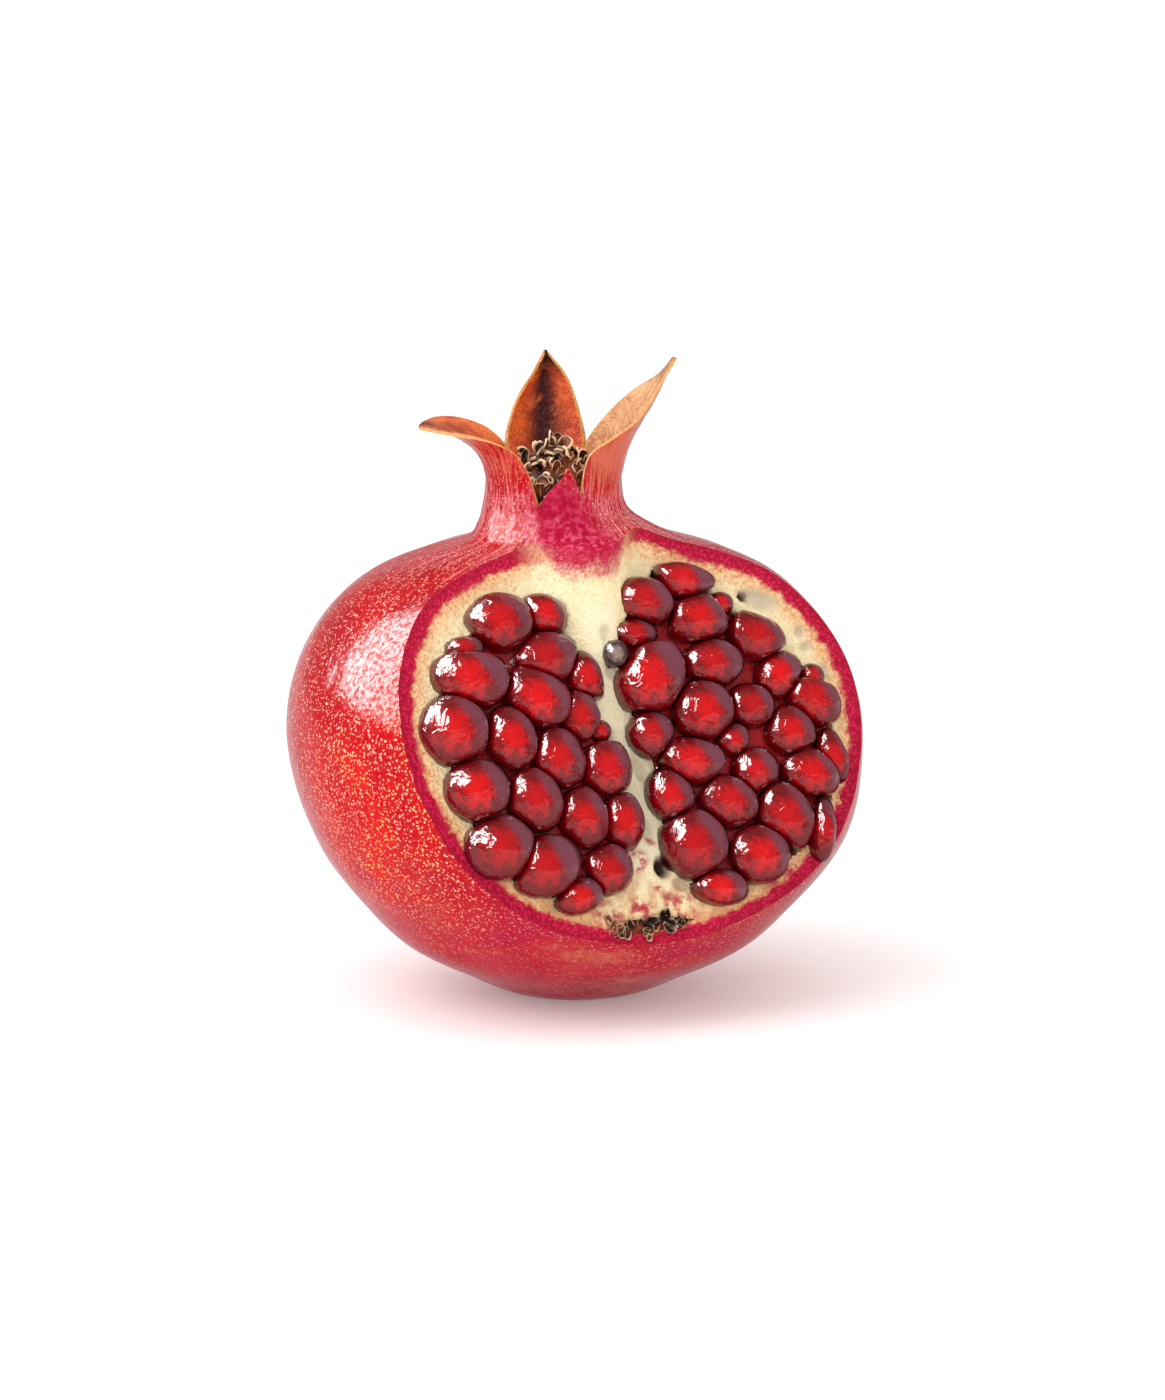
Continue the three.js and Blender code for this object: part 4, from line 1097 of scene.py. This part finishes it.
def aril_flesh():
    """Glassy garnet flesh over a seed, wrinkled wet skin, and painted glow, shade and sheen."""
    material, tree, shader = new_material(
        "aril_flesh", Roughness=0.3, Specular_IOR_Level=0.05, Coat_Weight=1.0,
        Coat_Roughness=0.03, Coat_IOR=1.75)
    where = object_place(tree)
    local = mark(tree, "local", "Vector")
    tone = mark(tree, "tone")

    # Painted light: the side that looks out of the slice and a little left, towards the window,
    # is bright red over the seed as a painted glow; the right side has a painted mauve sheen.
    facing = add_node(tree, "ShaderNodeVectorMath", {0: local, 1: (-0.30, -0.12, 0.95)},
                      operation="DOT_PRODUCT").outputs["Value"]
    sheen_side = add_node(tree, "ShaderNodeVectorMath", {0: local, 1: (0.86, 0.36, 0.30)},
                      operation="DOT_PRODUCT").outputs["Value"]

    # Streaks make a ragged border between the painted glow's bright red and the deep red round
    # it.
    spun = add_node(tree, "ShaderNodeVectorMath", {0: local, 1: (1.0, 1.0, 0.25)},
                    operation="MULTIPLY").outputs[0]
    streaks = cloud(tree, spun, 5.5, 4.0, 0.7, 0.8)
    patches = cloud(tree, where, 420.0, 3.0, 0.6)
    ragged = maths(tree, "MULTIPLY_ADD", maths(tree, "SUBTRACT", streaks, 0.5), 0.9, facing)
    bright = mask(tree, ragged, 0.66, 1.04)
    # Painted shade: darker red towards the sides that turn away from the slice.
    deep = mixed(tree, mask(tree, facing, 0.0, 0.6), paint(44, 1, 6), paint(112, 1, 8))
    red = mixed(tree, tone, paint(224, 1, 8), paint(186, 1, 12))
    colour = mixed(tree, bright, deep, red)
    # Painted reflection: a mauve-grey sheen in misty patches on the right side.
    misted_sheen = maths(tree, "MULTIPLY_ADD", maths(tree, "SUBTRACT", patches, 0.5), 0.5, sheen_side)
    mauve = maths(tree, "MULTIPLY", mask(tree, misted_sheen, 0.32, 0.72), 0.85)
    colour = mixed(tree, mauve, colour, paint(122, 66, 80))
    # Painted shade: a dark outline where the side turns away, and under it a painted glow in
    # gaps.
    colour = mixed(tree, mask(tree, facing, 0.42, 0.24), colour, paint(44, 1, 6))
    colour = mixed(tree, mask(tree, facing, 0.14, 0.0), colour, paint(104, 2, 10))
    # The arils packed behind: their red, lightened by a painted glow in the gaps.
    colour = mixed(tree, mark(tree, "bed"), colour, paint(168, 6, 14))
    clear = mask(tree, tone, 1.4, 1.6)
    glassy = mixed(tree, bright, paint(70, 50, 50), paint(158, 132, 122))
    tree.links.new(mixed(tree, clear, colour, glassy), shader.inputs["Base Color"])
    wrinkle = cloud(tree, where, 400.0, 2.0, 0.5, 1.2)
    tree.links.new(bump(tree, wrinkle, 1.0, 0.00036), shader.inputs["Coat Normal"])
    return material


ARIL_FINISHES = [aril_flesh()]
draw = np.random.default_rng(ARIL_SEED)
for name, arils, outline in (("arils_left", LEFT_ARILS, LEFT_BED),
                             ("arils_right", RIGHT_ARILS, RIGHT_BED)):
    form = Form()
    sizes = placed(arils)
    for number in range(len(arils)):
        add_aril(form, number, *sizes, draw, arils[number] == UNRIPE)
    add_bed(form, outline)
    bunch = form.build(name + "_flesh", ARIL_FINISHES)
    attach(bunch, "root")
    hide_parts(name)


# ---- Stamens ----------------------------------------------------------------------------------
# The flower's anthers, dried to curled brown husks with pale edges and left packed in the cup.
# They grew on the inside of the calyx, so they fill it to the brim in a loose heap.

HUSK_SIDES = 5
HUSK_ROWS = 7
HUSK_WALL = 0.22
HUSK_LEAN = 1.3
HUSKS_PER_SQUARE_METRE = 900000.0
HEAP_RADIUS = 7.9
HEAP_TOP = 85.4
HEAP_EDGE = 79.5
HEAP_FOOT = 76
HEAP_SIDES = 40
HEAP_RINGS = 8


def cover_sheet(form, front, back):
    """Closes a thin sheet: its front, its back and its four edges."""
    form.cover(quads(front) + quads(back[:, ::-1])
               + quads(np.stack([back[:, 0], front[:, 0]], 1))
               + quads(np.stack([front[:, -1], back[:, -1]], 1))
               + quads(np.stack([front[-1], back[-1]])) + quads(np.stack([back[0], front[0]])))


def husk(name, length, width, curl, twist):
    """A curled half-pipe of papery husk, standing on the origin."""
    t = np.linspace(0, 1, HUSK_ROWS)[:, None]
    s = np.linspace(-1, 1, HUSK_SIDES)
    girth = width * (0.25 + 0.75 * np.sin(math.pi * np.clip(0.12 + 0.8 * t, 0, 1)))
    bend = curl * t
    middle = length * np.stack([(1 - np.cos(bend)) / curl, 0 * t, np.sin(bend) / curl], -1)
    turn = twist * t

    def curled(cup, side):
        x = cup * np.cos(turn) - side * np.sin(turn)
        y = cup * np.sin(turn) + side * np.cos(turn)
        return middle + np.stack([x * np.cos(bend), y, -x * np.sin(bend)], -1)

    side = girth * s
    cup = girth * 0.7 * (1 - s ** 2)
    lip = np.maximum(np.abs(s), np.abs(2 * t - 1)) ** 4
    form = Form()
    cover_sheet(form, front=form.add(curled(cup, side), lip=lip),
                back=form.add(curled(cup - HUSK_WALL, 0.92 * side), lip=0.7 * lip))
    return form.build(name)


def dried_husk():
    """Papery brown husk: near-black patches are painted shade; edges partly bleached, partly
    painted highlight.
    """
    material, tree, shader = new_material("dried_husk", Roughness=0.6, Specular_IOR_Level=0.12)
    where = object_place(tree)
    grain = place_group(tree, FIBRES, {"Place": where, "Size": 420.0})
    # Painted shade: nearly black patches stand for the gaps between husks.
    brown = mixed(tree, mask(tree, grain["Patches"], 0.38, 0.62), paint(34, 11, 5),
                  paint(134, 62, 32))
    # Pale edges: partly the husk's own bleached colour and partly painted highlight.
    lip = mask(tree, mark(tree, "lip"), 0.38, 0.85)
    lip = maths(tree, "MULTIPLY", lip, mask(tree, grain["Patches"], 0.30, 0.48))
    tree.links.new(mixed(tree, lip, brown, paint(255, 218, 176)), shader.inputs["Base Color"])
    tree.links.new(bump(tree, grain["Grain"], 0.6, 0.0002), shader.inputs["Normal"])
    return material


HUSK_FINISH = dried_husk()


def heap():
    """The mound that the husks lie on."""
    azimuth = np.linspace(0, 2 * math.pi, HEAP_SIDES, endpoint=False)
    share = np.linspace(0, 1, HEAP_RINGS + 1)[1:, None]

    def ring(radius, height):
        return np.stack(np.broadcast_arrays(
            CROWN_X + radius * np.cos(azimuth), radius * np.sin(azimuth), height), -1)

    height = HEAP_EDGE + (HEAP_TOP - HEAP_EDGE) * (1 - share ** 2)
    form = Form()
    cover_mound(form, top=form.add([[CROWN_X, 0, HEAP_TOP]]),
                rings=form.add(ring(HEAP_RADIUS * share, height)),
                foot=form.add(ring(HEAP_RADIUS - 1, HEAP_FOOT)),
                bottom=form.add([[CROWN_X, 0, HEAP_FOOT]]))
    return form.build("heap", [HUSK_FINISH])


def strewn_husks():
    """Geometry nodes: husks stand on the mound at random places, turns and sizes."""
    tree = bpy.data.node_groups.new("strewn_husks", "GeometryNodeTree")
    sockets = tree.interface
    sockets.new_socket("Geometry", in_out="INPUT", socket_type="NodeSocketGeometry")
    sockets.new_socket("Geometry", in_out="OUTPUT", socket_type="NodeSocketGeometry")
    for name, kind in (("Spacing", "Float"), ("Smallest", "Float"), ("Largest", "Float"),
                       ("Seed", "Int"), ("Long husk", "Object"), ("Short husk", "Object"),
                       ("Finish", "Material")):
        sockets.new_socket(name, in_out="INPUT", socket_type="NodeSocket" + kind)
    given = tree.nodes.new("NodeGroupInput").outputs
    result = tree.nodes.new("NodeGroupOutput")
    spots = add_node(tree, "GeometryNodeDistributePointsOnFaces", {
        "Mesh": given["Geometry"], "Distance Min": given["Spacing"],
        "Density Max": HUSKS_PER_SQUARE_METRE, "Seed": given["Seed"]},
        distribute_method="POISSON")
    kinds = tree.nodes.new("GeometryNodeJoinGeometry")
    for name in ("Short husk", "Long husk"):
        shown = add_node(tree, "GeometryNodeObjectInfo", {
            "Object": given[name], "As Instance": True})
        tree.links.new(shown.outputs["Geometry"], kinds.inputs[0])
    lean = add_node(tree, "FunctionNodeRandomValue", {
        0: (-HUSK_LEAN, -HUSK_LEAN, 0.0), 1: (HUSK_LEAN, HUSK_LEAN, 6.28),
        "Seed": given["Seed"]}, data_type="FLOAT_VECTOR")
    size = add_node(tree, "FunctionNodeRandomValue", {
        2: given["Smallest"], 3: given["Largest"], "Seed": given["Seed"]}, data_type="FLOAT")
    husks = add_node(tree, "GeometryNodeInstanceOnPoints", {
        "Points": spots.outputs["Points"], "Instance": kinds.outputs[0], "Pick Instance": True,
        "Rotation": lean.outputs[0], "Scale": size.outputs[1]})
    loose = add_node(tree, "GeometryNodeRealizeInstances", {"Geometry": husks.outputs[0]})
    both = tree.nodes.new("GeometryNodeJoinGeometry")
    tree.links.new(loose.outputs[0], both.inputs[0])
    tree.links.new(given["Geometry"], both.inputs[0])
    finished = add_node(tree, "GeometryNodeSetMaterial", {
        "Geometry": both.outputs[0], "Material": given["Finish"]})
    tree.links.new(finished.outputs[0], result.inputs[0])
    return tree


long_husk = husk("long_husk", 2.6, 0.62, 2.2, 1.3)
short_husk = husk("short_husk", 1.7, 0.72, 1.5, -1.0)
stamens = heap()
strew = stamens.modifiers.new("strewn_husks", "NODES")
strew.node_group = strewn_husks()
settings = {"Spacing": 0.85 * MM, "Smallest": 0.75, "Largest": 1.35, "Seed": 4,
            "Long husk": long_husk, "Short husk": short_husk, "Finish": HUSK_FINISH}
for item in strew.node_group.interface.items_tree:
    if item.in_out == "INPUT" and item.name in settings:
        strew[item.identifier] = settings[item.name]
filled = stamens.evaluated_get(bpy.context.evaluated_depsgraph_get())
heaped = bpy.data.meshes.new_from_object(filled)
stamens.modifiers.clear()
stamens.data = heaped
stamens.name = "stamen_husks"
for loose_husk in (long_husk, short_husk):
    bpy.data.objects.remove(loose_husk)
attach(stamens, "root")
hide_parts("stamens")


# ---- Stalk scar -------------------------------------------------------------------------------
# The corky scar where the stalk broke off, caught by the knife at the lower rim. It is torn,
# nearly black, and its loose scraps have pale edges, partly bleached and partly painted
# highlight.

SCAR_ACROSS = -3.5
SCAR_UP = -31.6
SCAR_WIDE = 12.6
SCAR_HIGH = 2.3
SCAR_SWELL = 0.3
SCAR_ROOT = 1.0
SCRAPS = 26
SCRAP_WALL = 0.25
SCRAP_SEED = 3

draw = np.random.default_rng(SCRAP_SEED)
form = Form()
for number in range(SCRAPS):
    length = 1.2 + 1.5 * draw.random()
    wide = 0.4 + 0.45 * draw.random()
    across = SCAR_ACROSS + SCAR_WIDE * (draw.random() - 0.5)
    up = SCAR_UP + 0.9 * SCAR_HIGH * (draw.random() - 0.5)
    heading = draw.random() * 2 * math.pi
    lift = 0.4 + 0.9 * draw.random()
    t = np.linspace(0, 1, 6)[:, None]
    s = np.linspace(-1, 1, 5)
    reach = length * (t - 0.3)
    side = wide * s * (0.35 + 0.65 * np.sin(math.pi * (0.15 + 0.75 * t)))
    a = across + reach * math.cos(heading) - side * math.sin(heading)
    b = up + reach * math.sin(heading) + side * math.cos(heading)
    height = slice_rise(a, b) + 0.15 + lift * t ** 2 - 0.45 * (1 - np.abs(s))
    lip = 0.7 * np.maximum(np.abs(s), t) ** 3
    upper = form.add(on_slice(a, b, height), lip=lip)
    under = form.add(on_slice(a, b, height - SCRAP_WALL), lip=lip * 0.3)
    cover_sheet(form, under, upper)

# The scraps lie on a ragged mound, rooted in the rim.
turn = np.linspace(0, 2 * math.pi, 40, endpoint=False)
share = np.linspace(0, 1, 6)[1:, None]
ragged = 1 + 0.18 * np.sin(7 * turn) + 0.1 * np.sin(13 * turn + 1)
a = SCAR_ACROSS + SCAR_WIDE / 2 * share * np.cos(turn) * ragged
b = SCAR_UP + SCAR_HIGH / 2 * share * np.sin(turn) * ragged
swell = SCAR_SWELL * (1 - share ** 2) + 0.02
level = slice_rise(SCAR_ACROSS, SCAR_UP)
cover_mound(
    form, top=form.add(on_slice(SCAR_ACROSS, SCAR_UP, level + SCAR_SWELL)[None], lip=0),
    rings=form.add(on_slice(a, b, slice_rise(a, b) + swell), lip=0),
    foot=form.add(on_slice(a[-1], b[-1], slice_rise(a[-1], b[-1]) - SCAR_ROOT), lip=0),
    bottom=form.add(on_slice(SCAR_ACROSS, SCAR_UP, level - SCAR_ROOT)[None], lip=0))
scar = form.build("torn_scar", [HUSK_FINISH])
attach(scar, "root")
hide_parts("stem_scar")
